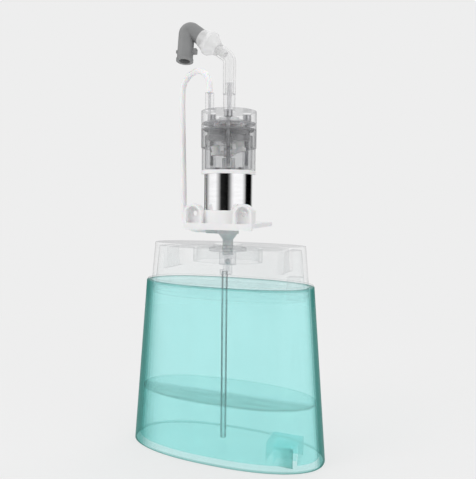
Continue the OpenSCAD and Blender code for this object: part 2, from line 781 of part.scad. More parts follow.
module diaphragm() {
    color([0.9, 0.9, 0.9]) translate([0, 0, valve_z - sheet_t]) difference() {
        union() {
            cylinder(r = head_r - 1.5, h = sheet_t);
            at_angles(cup_angles, cup_ring_r) translate([0, 0, -cup_depth]) cylinder(d = cup_d, h = cup_depth + eps);
        }
        at_angles(cup_angles, cup_ring_r) translate([0, 0, cup_wall - cup_depth])
            cylinder(d = cup_d - 2 * cup_wall, h = cup_depth + sheet_t);
        at_angles(screw_angles, screw_ring_r) translate([0, 0, -1]) cylinder(d = pump_screw_d + 0.8, h = 4);
    }
}

module valve_plate() {
    port_r = 0.5;
    color([0.85, 0.86, 0.87, 0.6]) translate([0, 0, valve_z]) difference() {
        cylinder(r = head_r, h = valve_plate_t);
        at_angles(screw_angles, screw_ring_r) translate([0, 0, -1]) cylinder(d = pump_screw_d + 2 * screw_clear, h = 9);
        at_angles(cup_angles, cup_ring_r) translate([0, 0, -1]) {
            cylinder(r = 0.6, h = 9);
            for (y = [-1.7, 1.7]) translate([0, y, 0]) cylinder(r = port_r, h = 9);
        }
        translate([0, 0, -1]) cylinder(r = 0.6, h = 9);
        at_angles(cup_angles, outlet_disc_r - 0.5) translate([0, 0, -1]) cylinder(r = port_r - 0.1, h = 9);
    }
}

module inlet_valves() {
    color([0.98, 0.98, 0.98]) translate([0, 0, valve_z]) at_angles(cup_angles, cup_ring_r) {
        translate([0, 0, -valve_disc_t]) cylinder(r = inlet_disc_r, h = valve_disc_t);
        translate([0, 0, -eps]) cylinder(r = 0.6, h = valve_plate_t + 2 * eps);
        translate([0, 0, valve_plate_t]) cylinder(r1 = 1, r2 = 0.5, h = 1.1);
    }
}

module outlet_valve() {
    color([0.98, 0.98, 0.98]) translate([0, 0, seal_z]) {
        cylinder(r = outlet_disc_r, h = valve_disc_t);
        translate([0, 0, -valve_plate_t - eps]) cylinder(r = 0.6, h = valve_plate_t + 2 * eps);
        translate([0, 0, valve_disc_t]) cylinder(r = 1.2, h = 0.6);
    }
}

module head_seal() {
    color([0.2, 0.2, 0.21]) translate([0, 0, seal_z]) {
        difference() {
            ring(head_r - 0.4, inlet_chamber_r, seal_t);
            at_angles(screw_angles, screw_ring_r) translate([0, 0, -1])
                cylinder(d = pump_screw_d + 2 * screw_clear, h = 4);
        }
        ring(inlet_chamber_in_r, outlet_chamber_r, seal_t);
    }
}

module head_cover() {
    inlet_reach = norm([inlet_x, inlet_y]);
    color([0.86, 0.87, 0.88, 0.6]) difference() {
        union() {
            translate([0, 0, cover_z]) cylinder(r = head_r, h = cover_h);
            translate([0, 0, head_top - eps]) cylinder(d = outlet_boss_d, h = boss_h + eps);
            translate([0, 0, boss_top - eps]) cylinder(r = tube_fit_r, h = outlet_nib_h + eps);
            translate([inlet_x, inlet_y, head_top - eps]) cylinder(d = inlet_boss_d, h = boss_h + eps);
        }
        translate([0, 0, cover_z - 1]) cylinder(r = outlet_chamber_r, h = outlet_chamber_h + 1);
        translate([0, 0, cover_z - 1]) ring(inlet_chamber_r, inlet_chamber_in_r, chamber_h + 1);
        rotate([0, 0, atan2(inlet_y, inlet_x)]) translate([inlet_chamber_in_r + 0.5, -1, cover_z - 1])
            cube([inlet_reach - inlet_chamber_in_r - 0.5, 2, chamber_h + 1]);
        translate([0, 0, cover_z]) cylinder(d = outlet_bore_d, h = 60);
        translate([inlet_x, inlet_y, cover_z + eps]) cylinder(d = inlet_bore_d, h = 60);
        at_angles(screw_angles, screw_ring_r) {
            translate([0, 0, cover_z - 1]) cylinder(d = pump_screw_d + 2 * screw_clear, h = 60);
            translate([0, 0, cover_z + pocket_floor]) cylinder(r = screw_head_r + 0.3, h = 60);
        }
    }
}

module pump_screws() {
    foot = cam_z + 3;
    head_z = cover_z + pocket_floor;
    color([0.2, 0.2, 0.22]) at_angles(screw_angles, screw_ring_r) difference() {
        union() {
            translate([0, 0, head_z]) cylinder(r = screw_head_r, h = screw_head_h);
            translate([0, 0, foot]) cylinder(d = pump_screw_d, h = head_z - foot + eps);
        }
        translate([0, 0, head_z + 1.5]) cylinder(r = 1, h = 4, $fn = 6);
    }
}

// A tube of straight-sided rings, one on each point of a route
function route_dir(p, i) =
    let (n = len(p) - 1, v = p[min(i + 1, n)] - p[max(i - 1, 0)]) v / norm(v);
function ring_points(p, i, r, sides, side_dir) =
    let (t = route_dir(p, i), u = cross(t, side_dir) / norm(cross(t, side_dir)), w = cross(u, t))
        [for (k = [0 : sides - 1]) p[i] + r * (cos(360 * k / sides) * u + sin(360 * k / sides) * w)];

module route_tube(p, r, sides, side_dir) {
    n = len(p);
    points = [for (i = [0 : n - 1]) each ring_points(p, i, r, sides, side_dir)];
    sides_faces = [for (i = [0 : n - 2], k = [0 : sides - 1])
        [i * sides + k, i * sides + (k + 1) % sides, (i + 1) * sides + (k + 1) % sides, (i + 1) * sides + k]];
    ends = [[for (k = [sides - 1 : -1 : 0]) k], [for (k = [0 : sides - 1]) (n - 1) * sides + k]];
    polyhedron(points = points, faces = concat(sides_faces, ends), convexity = 10);
}

module inlet_hose() {
    color([0.98, 0.98, 0.98]) route_tube(hose_route, hose_d / 2, 8, [0, 1, 0]);
}

// Route of the outlet tube's centre line, with its straight ends lengthened by extra
function outlet_route(extra) =
    let (straight_top = spout_z - tube_tangent, end = spout_reach - tube_end_s() + extra)
        concat(
            [[0, 0, boss_top - extra]],
            [for (a = [0 : outlet_steps]) let (t = tube_turn * a / outlet_steps)
                [outlet_bend_r * (cos(t) - 1), 0, straight_top + outlet_bend_r * sin(t)]],
            [[-end * sin(tube_turn), 0, spout_z + end * cos(tube_turn)]]
        );

module outlet_tube() {
    color([0.93, 0.95, 0.96, 0.4]) difference() {
        route_tube(outlet_route(0), outlet_d / 2, outlet_sides, [0, 1, 0]);
        route_tube(outlet_route(1), outlet_in_r, outlet_sides, [0, 1, 0]);
    }
}

function tube_end_s() = barb_end - barb_l;

module spout_connector() {
    rim = flange_d / 2;
    s_tube = tube_end_s();
    color([0.92, 0.93, 0.94, 0.7]) on_spout() rotate_extrude() difference() {
        polygon([
            [1.4, nose_l], [nose_r - 0.4, nose_l], [nose_r, nose_l - 0.5],
            [nose_r, 0], [elbow_r + 0.3, -0.2], [elbow_r + 0.6, -1.6], [rim - 0.6, -4.6],
            [rim, -5.4], [rim, -6.6], [rim - 0.5, -7.2], [nose_r + 0.9, -s_tube + 1.6],
            [nose_r + 0.4, -s_tube + 0.1], [tube_fit_r - 0.2, -s_tube], [tube_fit_r - 0.2, -s_tube - 0.6],
            [tube_fit_r, -s_tube - 1], [tube_fit_r - 0.4, -s_tube - 2.4], [tube_fit_r, -s_tube - 3],
            [tube_fit_r - 0.5, -barb_end], [1.2, -barb_end], [1.2, -s_tube + 1], [1.4, -s_tube + 2]
        ]);
        translate([nose_ring_r, nose_l / 2]) circle(r = o_ring_section, $fn = 24);
    }
}

module connector_o_ring() {
    color([0.3, 0.3, 0.32]) on_spout() translate([0, 0, nose_l / 2]) torus(nose_ring_r, o_ring_section);
}

module elbow_path(r, r_collar, extra) {
    translate([0, 0, -extra]) cylinder(r = r_collar, h = collar_l + extra);
    translate([-elbow_bend_r, 0, collar_l]) {
        rotate([90, 0, 0]) rotate_extrude(angle = elbow_turn) intersection() {
            translate([elbow_bend_r, 0]) circle(r = r);
            translate([0, -r]) square([elbow_bend_r + r, 2 * r]);
        }
        rotate([0, -elbow_turn, 0]) translate([elbow_bend_r, 0, 0]) cylinder(r = r, h = leg_l + extra);
    }
}

// Puts local +Z down the leg, with local 0 at its mouth and local +X outwards
module at_mouth() {
    translate([-elbow_bend_r, 0, collar_l]) rotate([0, -elbow_turn, 0]) translate([elbow_bend_r, 0, leg_l])
        children();
}

module spout_elbow() {
    bore_r = elbow_bore_d / 2;
    lug_z = -5.1;
    color([0.62, 0.63, 0.64]) on_spout() rotate([0, 0, spout_turn]) difference() {
        union() {
            elbow_path(elbow_r, elbow_r, 0);
            at_mouth() {
                translate([0, 0, -1.2]) cylinder(r = elbow_r + 0.3, h = 1.2);
                translate([-elbow_r - 2, -1.3, lug_z - 1.2]) cube([3, 2.6, 2.4]);
                translate([elbow_r - 1, -0.8, lug_z - 0.7]) cube([1.7, 1.6, 1.4]);
            }
        }
        difference() {
            elbow_path(bore_r, nose_r + swivel_gap, 1);
            at_mouth() translate([0, 0, -mouth_seat_l]) cylinder(r = elbow_r, h = mouth_seat_l + 2);
        }
        at_mouth() translate([0, 0, -mouth_seat_l - 1]) cylinder(d = mouth_seat_d, h = mouth_seat_l + 2);
    }
}

tank_body();
lid_shell();
lid_gasket();
valve_socket();
valve_cap();
valve_ball();
dip_tube();
pump_bracket();
bracket_screws();
suction_spigot();
spigot_o_ring();
motor_can();
motor_end_cap();
motor_terminals();
motor_brushes();
motor_magnets();
motor_bushings();
motor_shaft();
armature_core();
armature_windings();
commutator();
wobble_hub();
wobble_pin();
wobble_plate();
piston_stems();
motor_plate();
plate_screws();
cam_housing();
diaphragm_frame();
diaphragm();
valve_plate();
inlet_valves();
outlet_valve();
head_seal();
head_cover();
pump_screws();
inlet_hose();
outlet_tube();
spout_connector();
connector_o_ring();
spout_elbow();
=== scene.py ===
"""Looks of a motorised liquid dispenser unit with its casing off.

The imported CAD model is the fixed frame. This script adds a camera, a studio, the inlet hose, the smooth
outlet tube, the liquid in the tank, screw threads and wire turns, and gives every CAD node its finish.
Lengths are metres unless a name says otherwise.
"""

import json
import logging
import math
from dataclasses import dataclass, field
from enum import Enum

import bmesh
import bpy
from mathutils import Matrix, Vector

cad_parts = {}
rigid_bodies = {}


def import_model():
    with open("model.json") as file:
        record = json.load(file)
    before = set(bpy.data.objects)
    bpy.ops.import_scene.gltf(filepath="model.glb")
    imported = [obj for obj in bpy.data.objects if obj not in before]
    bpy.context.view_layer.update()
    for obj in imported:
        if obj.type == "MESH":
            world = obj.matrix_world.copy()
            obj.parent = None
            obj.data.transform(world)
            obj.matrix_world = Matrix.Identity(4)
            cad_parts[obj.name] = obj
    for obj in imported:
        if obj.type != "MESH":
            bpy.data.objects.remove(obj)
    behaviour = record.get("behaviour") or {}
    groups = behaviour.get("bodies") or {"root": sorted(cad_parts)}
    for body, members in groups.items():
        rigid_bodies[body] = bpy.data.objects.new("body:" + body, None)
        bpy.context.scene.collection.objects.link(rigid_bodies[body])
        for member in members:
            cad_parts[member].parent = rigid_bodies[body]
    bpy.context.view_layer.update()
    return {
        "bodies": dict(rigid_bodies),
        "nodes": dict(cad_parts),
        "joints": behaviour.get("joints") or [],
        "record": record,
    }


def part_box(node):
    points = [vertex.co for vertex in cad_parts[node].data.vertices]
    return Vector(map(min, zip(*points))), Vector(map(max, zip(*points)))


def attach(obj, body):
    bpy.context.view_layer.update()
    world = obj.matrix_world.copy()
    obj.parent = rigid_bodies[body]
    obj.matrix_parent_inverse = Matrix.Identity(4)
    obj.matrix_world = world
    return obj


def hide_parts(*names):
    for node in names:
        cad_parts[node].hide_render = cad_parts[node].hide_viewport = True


MM = 0.001
LOG = logging.getLogger("dispenser")
Colour = tuple[float, float, float]

# Sizes of the CAD model that the looks follow
TANK_FOOT = (52 * MM, 23 * MM)
TANK_RIM = (45 * MM, 20 * MM)
TANK_WALL = 2.6 * MM
PLAN_POWER = 2.3
POCKET_MID = (34 * MM, -7 * MM)
POCKET_SIZE = (10 * MM, 8 * MM)
POCKET_H = 9.5 * MM
SPOUT_CORNER_Z = 199.4 * MM

LIQUID_LEVEL = 28.5 * MM

# A see-through wall's mirror share, met head on and added edge on, and how sharply it grows
SHINE_FLAT = 0.03
SHINE_EDGE = 0.9
SHINE_POWER = 5.0


class Node(Enum):
    """Shader node types the finishes use."""

    OUTPUT = "ShaderNodeOutputMaterial"
    PRINCIPLED = "ShaderNodeBsdfPrincipled"
    TRANSPARENT = "ShaderNodeBsdfTransparent"
    GLOSSY = "ShaderNodeBsdfAnisotropic"
    DIFFUSE = "ShaderNodeBsdfDiffuse"
    EMISSION = "ShaderNodeEmission"
    MIX_SHADER = "ShaderNodeMixShader"
    MIX = "ShaderNodeMix"
    MATH = "ShaderNodeMath"
    VECTOR_MATH = "ShaderNodeVectorMath"
    MAP_RANGE = "ShaderNodeMapRange"
    LAYER_WEIGHT = "ShaderNodeLayerWeight"
    NOISE = "ShaderNodeTexNoise"
    COORDS = "ShaderNodeTexCoord"
    MAPPING = "ShaderNodeMapping"
    SEPARATE = "ShaderNodeSeparateXYZ"
    BUMP = "ShaderNodeBump"
    RAMP = "ShaderNodeValToRGB"
    BACKGROUND = "ShaderNodeBackground"
    WORLD_OUTPUT = "ShaderNodeOutputWorld"
    LIGHT_PATH = "ShaderNodeLightPath"
    GROUP_IN = "NodeGroupInput"
    GROUP_OUT = "NodeGroupOutput"
    QUADRILATERAL = "GeometryNodeCurvePrimitiveQuadrilateral"
    FILLET = "GeometryNodeFilletCurve"
    CIRCLE = "GeometryNodeCurvePrimitiveCircle"
    SPIRAL = "GeometryNodeCurveSpiral"
    SWEEP = "GeometryNodeCurveToMesh"
    TRANSFORM = "GeometryNodeTransform"
    LINE = "GeometryNodeMeshLine"
    JOIN = "GeometryNodeJoinGeometry"
    SET_POSITION = "GeometryNodeSetPosition"
    RANDOM = "FunctionNodeRandomValue"
    ON_POINTS = "GeometryNodeInstanceOnPoints"
    INDEX = "GeometryNodeInputIndex"
    COMBINE = "ShaderNodeCombineXYZ"
    REALIZE = "GeometryNodeRealizeInstances"
    SET_MATERIAL = "GeometryNodeSetMaterial"


class Shader:
    """A node tree with short calls for the nodes that the finishes use."""

    def __init__(self, tree: bpy.types.NodeTree) -> None:
        """Empties the tree.

        Args:
            tree: The material's or world's node tree.
        """
        self.tree = tree
        tree.nodes.clear()
        self._object: bpy.types.NodeSocket | None = None

    def add(self, kind: Node, **inputs: object) -> bpy.types.Node:
        """Adds a node.

        Args:
            kind: The node's type.
            **inputs: Values or sockets by input name, with _ for a space, or i and a number for an input's place.

        Returns:
            The new node.
        """
        node = self.tree.nodes.new(kind.value)
        for name, value in inputs.items():
            place = name[1:]
            by_place = name[0] == "i" and place.isdigit()
            self.put(node.inputs[int(place) if by_place else name.replace("_", " ")], value)
        return node

    def put(self, socket: bpy.types.NodeSocket, value: object) -> None:
        """Links a socket to an input, or sets its value.

        Args:
            socket: The input.
            value: An output socket, a number or a colour.
        """
        if isinstance(value, bpy.types.NodeSocket):
            self.tree.links.new(value, socket)
        elif isinstance(value, tuple) and socket.type == "RGBA":
            socket.default_value = (*value[:3], 1.0)
        else:
            socket.default_value = value

    def object_coords(self) -> bpy.types.NodeSocket:
        """Returns the Object coordinates, which here are places in the frame."""
        if self._object is None:
            self._object = self.add(Node.COORDS).outputs["Object"]
        return self._object

    def math(self, operation: str, a: object, b: object = 0.0, c: object = 0.0) -> bpy.types.NodeSocket:
        """Adds a Math node.

        Args:
            operation: Its operation.
            a: First value or socket.
            b: Second value or socket.
            c: Third value or socket.

        Returns:
            Its result.
        """
        node = self.add(Node.MATH)
        node.operation = operation
        for socket, value in zip(node.inputs, (a, b, c)):
            self.put(socket, value)
        return node.outputs[0]

    def ramp(
        self, value: object, low: float, high: float, to_low: float = 0.0, to_high: float = 1.0
    ) -> bpy.types.NodeSocket:
        """Maps a value smoothly from one range to another, clamped.

        Args:
            value: The value's socket.
            low: Value that gives to_low.
            high: Value that gives to_high.
            to_low: Result at low.
            to_high: Result at high.

        Returns:
            The mapped value.
        """
        node = self.add(Node.MAP_RANGE, Value=value, From_Min=low, From_Max=high, To_Min=to_low, To_Max=to_high)
        node.interpolation_type = "SMOOTHSTEP"
        return node.outputs[0]

    def mix(self, share: object, a: object, b: object) -> bpy.types.NodeSocket:
        """Mixes two colours.

        Args:
            share: How much of b.
            a: First colour.
            b: Second colour.

        Returns:
            The mixed colour.
        """
        node = self.add(Node.MIX)
        node.data_type = "RGBA"
        self.put(node.inputs[0], share)
        self.put(node.inputs[6], a)
        self.put(node.inputs[7], b)
        return node.outputs[2]

    def noise(
        self, scale: float, detail: float = 2.0, stretch: tuple[float, float, float] = (1, 1, 1)
    ) -> bpy.types.NodeSocket:
        """Adds a noise pattern in the frame.

        Args:
            scale: Features per metre.
            detail: Octaves.
            stretch: Scale along each axis.

        Returns:
            The pattern, about 0.5 on average.
        """
        place = self.add(Node.MAPPING, Vector=self.object_coords(), Scale=stretch).outputs[0]
        return self.add(Node.NOISE, Vector=place, Scale=scale, Detail=detail, Roughness=0.55).outputs[0]

    def facing(self) -> bpy.types.NodeSocket:
        """Returns 0 where a wall is met head on and 1 where it is met edge on."""
        return self.add(Node.LAYER_WEIGHT, Blend=0.5).outputs["Facing"]


def new_material(name: str) -> tuple[bpy.types.Material, Shader]:
    """Makes a material with an empty tree.

    Args:
        name: Its name.

    Returns:
        The material and its shader.
    """
    material = bpy.data.materials.new(name)
    material.use_nodes = True
    return material, Shader(material.node_tree)


@dataclass(frozen=True)
class SolidFinish:
    """Moulded or cast opaque stuff: colour that varies slightly, a fine grain and a roughness that varies."""

    name: str
    colour: Colour
    shade: Colour
    roughness: float = 0.4
    grain: float = 900.0
    grain_depth: float = 0.00001
    metallic: float = 0.0
    coat: float = 0.0
    sheen: float = 0.0
    subsurface: float = 0.0
    blotch: float = 90.0
    stretch: tuple[float, float, float] = (1.0, 1.0, 1.0)

    def build(self) -> bpy.types.Material:
        """Returns the material."""
        material, s = new_material(self.name)
        cloud = s.ramp(s.noise(self.blotch, 3.0, self.stretch), 0.35, 0.7)
        fine = s.noise(self.grain, 4.0, self.stretch)
        surface = s.add(
            Node.PRINCIPLED,
            Base_Color=s.mix(cloud, self.colour, self.shade),
            Roughness=s.ramp(fine, 0.3, 0.7, max(0.02, self.roughness - 0.06), self.roughness + 0.06),
            Metallic=self.metallic,
            Coat_Weight=self.coat,
            Sheen_Weight=self.sheen,
            Subsurface_Weight=self.subsurface,
            Subsurface_Scale=0.001,
            Normal=s.add(Node.BUMP, Strength=0.35, Distance=self.grain_depth, Height=fine).outputs[0],
        )
        s.add(Node.OUTPUT, Surface=surface.outputs[0])
        return material


@dataclass(frozen=True)
class ClearFinish:
    """A see-through wall. Each crossing takes a little colour out, more where the wall is met edge on, and adds a
    haze of light from inside the plastic."""

    name: str
    tint: Colour
    edge_tint: Colour
    haze_colour: Colour = (0.95, 0.96, 0.97)
    haze: float = 0.03
    edge_haze: float = 0.03
    edge_from: float = 0.45
    edge_to: float = 0.98
    gloss: float = 0.7
    roughness: float = 0.12
    flow: float = 55.0

    def build(self) -> bpy.types.Material:
        """Returns the material."""
        material, s = new_material(self.name)
        self.finish(s)
        return material

    def finish(self, s: Shader, shade_and_lines: object = None, where: object = None) -> None:
        """Adds the nodes.

        Args:
            s: The material's shader.
            shade_and_lines: Places of painted shade and of dark lines, made as dark as an edge, or None.
            where: Shares from 0 to 1 of places whose edges darken, or None for all.
        """
        edge = s.ramp(s.facing(), self.edge_from, self.edge_to)
        if where is not None:
            edge = s.math("MULTIPLY", edge, where)
        # Painted shade and dark lines darken like an edge
        if shade_and_lines is not None:
            edge = s.math("MAXIMUM", edge, shade_and_lines)
        flow = s.noise(self.flow, 3.0, (1.0, 1.0, 0.35))
        haze = s.ramp(edge, 0.0, 1.0, self.haze, self.edge_haze)
        amount = s.math("MULTIPLY", haze, s.ramp(flow, 0.3, 0.7, 0.85, 1.15))
        clear = s.add(Node.TRANSPARENT, Color=s.mix(edge, self.tint, self.edge_tint))
        wavy = s.add(Node.BUMP, Strength=0.2, Distance=0.00004, Height=flow).outputs[0]
        body = s.add(
            Node.PRINCIPLED,
            Base_Color=s.mix(s.ramp(flow, 0.35, 0.7), self.haze_colour, tuple(0.95 * c for c in self.haze_colour)),
            Roughness=self.roughness,
            Normal=wavy,
        )
        milky = s.add(Node.MIX_SHADER, Fac=amount, i1=clear.outputs[0], i2=body.outputs[0])
        shine = s.math("MULTIPLY_ADD", s.math("POWER", s.facing(), SHINE_POWER), SHINE_EDGE, SHINE_FLAT)
        mirror = s.add(Node.GLOSSY, Roughness=self.roughness, Normal=wavy)
        surface = s.add(
            Node.MIX_SHADER, Fac=s.math("MULTIPLY", shine, self.gloss), i1=milky.outputs[0], i2=mirror.outputs[0]
        )
        s.add(Node.OUTPUT, Surface=surface.outputs[0])


@dataclass(frozen=True)
class TankFinish(ClearFinish):
    """The tinted tank: its outside and its rim darken edge on, a thin line of painted shade runs round its foot where
    it meets the floor, a thin dark line runs round its lip, and painted shade darkens the front of the locating
    pocket."""

    height: float = 0.0
    skin: float = 0.2 * MM
    # How far across the pocket's front the painted shade grows to its full strength
    shade_share: float = 0.75
    # Heights and strength of the painted shade line round the foot, where the tank meets the floor
    foot_line: tuple[float, float] = (0.6 * MM, 1.6 * MM)
    foot_shade: float = 0.6
    lip_line: tuple[float, float] = (1.2 * MM, 0.5 * MM)
    lip_dark: float = 0.5
    outer_share: float = 0.955

    def build(self) -> bpy.types.Material:
        """Returns the material."""
        material, s = new_material(self.name)
        place = s.add(Node.SEPARATE, Vector=s.object_coords()).outputs
        # Painted shade on the front face of the locating pocket, growing from its left side towards its right
        left = POCKET_MID[0] - POCKET_SIZE[0] / 2
        right = POCKET_MID[0] + POCKET_SIZE[0] / 2
        front = POCKET_MID[1] - POCKET_SIZE[1] / 2
        along = s.ramp(place["X"], left, left + self.shade_share * POCKET_SIZE[0])
        inside = s.math("LESS_THAN", place["X"], right + self.skin)
        near = s.math("COMPARE", place["Y"], front, 1.5 * self.skin)
        low = s.math("LESS_THAN", place["Z"], POCKET_H + self.skin)
        painted_shade = s.math("MULTIPLY", s.math("MULTIPLY", along, inside), s.math("MULTIPLY", near, low))
        outside = self._outside(s, place)
        # A thin line of painted shade round the outside of the foot, and a thin dark line round the outside of the lip
        foot = s.ramp(place["Z"], *self.foot_line, self.foot_shade, 0.0)
        lip = s.ramp(place["Z"], *(self.height - under for under in self.lip_line), 0.0, self.lip_dark)
        lines = s.math("MULTIPLY", s.math("MAXIMUM", foot, lip), outside)
        self.finish(s, s.math("MAXIMUM", painted_shade, lines), outside)
        return material

    def _outside(self, s: Shader, place: bpy.types.NodeOutputs) -> bpy.types.NodeSocket:
        """Returns 1 on the outer wall and on the rim, and 0 on the inner wall.

        Args:
            s: The material's shader.
            place: The frame's X, Y and Z.
        """
        parts = []
        for axis, low, high in zip("XY", TANK_FOOT, TANK_RIM):
            half = s.math("MULTIPLY_ADD", place["Z"], (high - low) / self.height, low)
            share = s.math("DIVIDE", s.math("ABSOLUTE", place[axis]), half)
            parts.append(s.math("POWER", share, PLAN_POWER))
        wall = s.math("GREATER_THAN", s.math("ADD", parts[0], parts[1]), self.outer_share)
        return s.math("MAXIMUM", wall, s.math("GREATER_THAN", place["Z"], self.height - self.skin / 2))


@dataclass(frozen=True)
class PassageFinish(ClearFinish):
    """A see-through body with painted shade over its vertical passages, so they look dark against the rest."""

    passages: tuple[tuple[float, float, float], ...] = ()
    # Strength of the painted shade over each passage, and the width over which it fades out
    depth: float = 0.8
    blur: float = 0.3 * MM

    def build(self) -> bpy.types.Material:
        """Returns the material."""
        material, s = new_material(self.name)
        # Painted shade over each vertical passage, fading out just past its radius
        painted_shade: object = 0.0
        for x, y, radius in self.passages:
            flat = s.add(Node.MAPPING, Vector=s.object_coords(), Location=(-x, -y, 0.0), Scale=(1.0, 1.0, 0.0))
            reach = s.add(Node.VECTOR_MATH, i0=flat.outputs[0])
            reach.operation = "LENGTH"
            painted_shade = s.math("MAXIMUM", painted_shade, s.ramp(reach.outputs["Value"], radius, radius + self.blur, self.depth, 0.0))
        self.finish(s, painted_shade)
        return material


@dataclass(frozen=True)
class LiquidFinish(ClearFinish):
    """The rinse: nearly clear at the walls, with painted shade in streaks across the front of its surface."""

    # Where the painted shade on the liquid's surface is strongest, and where it has faded
    front: float = 0.0
    back: float = 0.0
    edge_share: float = 0.4

    def build(self) -> bpy.types.Material:
        """Returns the material."""
        material, s = new_material(self.name)
        place = s.add(Node.SEPARATE, Vector=s.object_coords()).outputs
        # Painted shade in streaks across the top of the liquid, strongest at the front and fading to the back
        streak = s.ramp(s.noise(160.0, 3.0, (0.25, 2.5, 1.0)), 0.35, 0.65, 0.7, 1.0)
        top = s.math("GREATER_THAN", place["Z"], LIQUID_LEVEL - 0.1 * MM)
        surface_shade = s.math("MULTIPLY", s.ramp(place["Y"], self.front, self.back, 1.0, 0.1), streak)
        self.finish(s, s.math("MULTIPLY", top, surface_shade), self.edge_share)
        return material


class Materials:
    """Every finish of the unit, each built once."""

    BORES = ((0.0, 0.0, 1.15 * MM), (-8.2 * MM, -5.8 * MM, 0.75 * MM))
    FINISHES = {
        "white": SolidFinish("white_moulding", (0.93, 0.93, 0.93), (0.9, 0.9, 0.905), 0.36, subsurface=0.1),
        "grey": SolidFinish("grey_moulding", (0.27, 0.273, 0.275), (0.245, 0.248, 0.25), 0.48, grain=1400.0),
        "spigot": SolidFinish(
            "pale_grey_moulding", (0.72, 0.72, 0.725), (0.64, 0.64, 0.645), 0.42, grain=1400.0, subsurface=0.1,
        ),
        "black": SolidFinish("black_moulding", (0.03, 0.03, 0.032), (0.02, 0.02, 0.021), 0.5),
        "rubber": SolidFinish(
            "black_rubber", (0.025, 0.025, 0.025), (0.035, 0.035, 0.035), 0.62, grain=2200.0, sheen=0.2,
        ),
        "silicone": SolidFinish(
            "white_silicone", (0.94, 0.94, 0.94), (0.9, 0.9, 0.9), 0.5, sheen=0.25, subsurface=0.3,
        ),
        "hose": SolidFinish(
            "hose_silicone", (0.98, 0.98, 0.98), (0.95, 0.95, 0.955), 0.38, grain=1800.0, sheen=0.2, subsurface=0.3,
        ),
        "chrome": SolidFinish(
            "plated_can", (0.93, 0.93, 0.94), (0.88, 0.88, 0.89), 0.1, grain=260.0, grain_depth=0.000003,
            metallic=1.0, stretch=(1.0, 1.0, 6.0),
        ),
        "steel": SolidFinish(
            "turned_steel", (0.62, 0.62, 0.64), (0.5, 0.5, 0.52), 0.28, grain=1500.0, metallic=1.0,
            stretch=(1.0, 1.0, 9.0),
        ),
        "brass": SolidFinish("bronze_bushing", (0.66, 0.47, 0.22), (0.55, 0.38, 0.17), 0.32, metallic=1.0),
        "copper": SolidFinish(
            "enamelled_copper", (0.62, 0.25, 0.1), (0.48, 0.17, 0.06), 0.25, metallic=1.0, coat=0.5,
        ),
        "carbon": SolidFinish("carbon_brush", (0.06, 0.06, 0.06), (0.1, 0.1, 0.1), 0.6, grain=3000.0),
        "ferrite": SolidFinish(
            "sintered_ferrite", (0.13, 0.13, 0.14), (0.08, 0.08, 0.09), 0.6, grain=2500.0, metallic=0.3,
        ),
        "lid": ClearFinish(
            "clear_lid", (0.998, 0.998, 0.999), (0.82, 0.82, 0.83), (1.0, 1.0, 1.0), 0.07, 0.1, 0.75, 1.0,
            gloss=0.45,
        ),
        "socket": ClearFinish(
            "smoky_socket", (0.965, 0.965, 0.968), (0.76, 0.76, 0.77), (0.85, 0.85, 0.86), 0.06, 0.2, 0.5, 1.0,
        ),
        "tube": ClearFinish(
            "clear_tube", (0.99, 0.995, 0.995), (0.02, 0.05, 0.06), (1.0, 1.0, 1.0), 0.03, 0.0, 0.2, 0.5, gloss=0.4,
        ),
        "outlet": ClearFinish(
            "clear_outlet", (0.985, 0.985, 0.985), (1.0, 1.0, 1.0), (1.0, 1.0, 1.0), 0.03, 0.8, 0.45, 0.85,
            gloss=0.4,
        ),
        "frosted": ClearFinish(
            "frosted_plate", (0.965, 0.967, 0.97), (0.85, 0.85, 0.86), (0.95, 0.95, 0.96), 0.1, 0.5, 0.4, 1.0,
            roughness=0.25,
        ),
        "head": PassageFinish(
            "frosted_head", (0.985, 0.985, 0.987), (0.8, 0.8, 0.81), (0.97, 0.975, 0.98), 0.08, 0.3, 0.5, 1.0,
            roughness=0.2, passages=BORES,
        ),
        "cam": ClearFinish(
            "frosted_cam_housing", (0.9, 0.902, 0.905), (0.8, 0.8, 0.81), (0.9, 0.91, 0.92), 0.05, 0.4, 0.5, 1.0,
            roughness=0.2,
        ),
        "frame": ClearFinish(
            "smoky_frame", (0.9, 0.902, 0.905), (0.6, 0.6, 0.61), (0.5, 0.505, 0.51), 0.16, 0.4, 0.4, 1.0,
            roughness=0.3,
        ),
        "cups": ClearFinish(
            "smoky_silicone", (0.84, 0.842, 0.845), (0.5, 0.5, 0.51), (0.8, 0.8, 0.81), 0.3, 0.6, 0.35, 1.0,
            roughness=0.4,
        ),
        "connector": ClearFinish(
            "milky_connector", (0.985, 0.985, 0.985), (0.93, 0.93, 0.94), (1.0, 1.0, 1.0), 0.55, 0.7, 0.3, 1.0,
            gloss=0.35, roughness=0.2,
        ),
        "liquid": LiquidFinish(
            "tinted_liquid", (0.99, 1.0, 1.0), (0.46, 0.6, 0.58), (0.66, 1.0, 0.98), 0.14, 0.03, 0.6, 0.85, gloss=0.3,
            front=-4 * MM, back=3 * MM,
        ),
    }

    def __init__(self, tank: TankFinish) -> None:
        """Keeps the tank's own finish with the others.

        Args:
            tank: The finish of the tank's wall.
        """
        self._finishes = {**self.FINISHES, "tank": tank}
        self._made: dict[str, bpy.types.Material] = {}

    def get(self, name: str) -> bpy.types.Material:
        """Returns a finish's material, built when first asked for.

        Args:
            name: The finish's name.
        """
        if name not in self._made:
            self._made[name] = self._finishes[name].build()
        return self._made[name]


def dress(obj: bpy.types.Object, material: bpy.types.Material) -> None:
    """Gives all of an object's material slots one material.

    Args:
        obj: The object.
        material: Its material.
    """
    if not obj.material_slots:
        obj.data.materials.append(material)
    for slot in obj.material_slots:
        slot.material = material


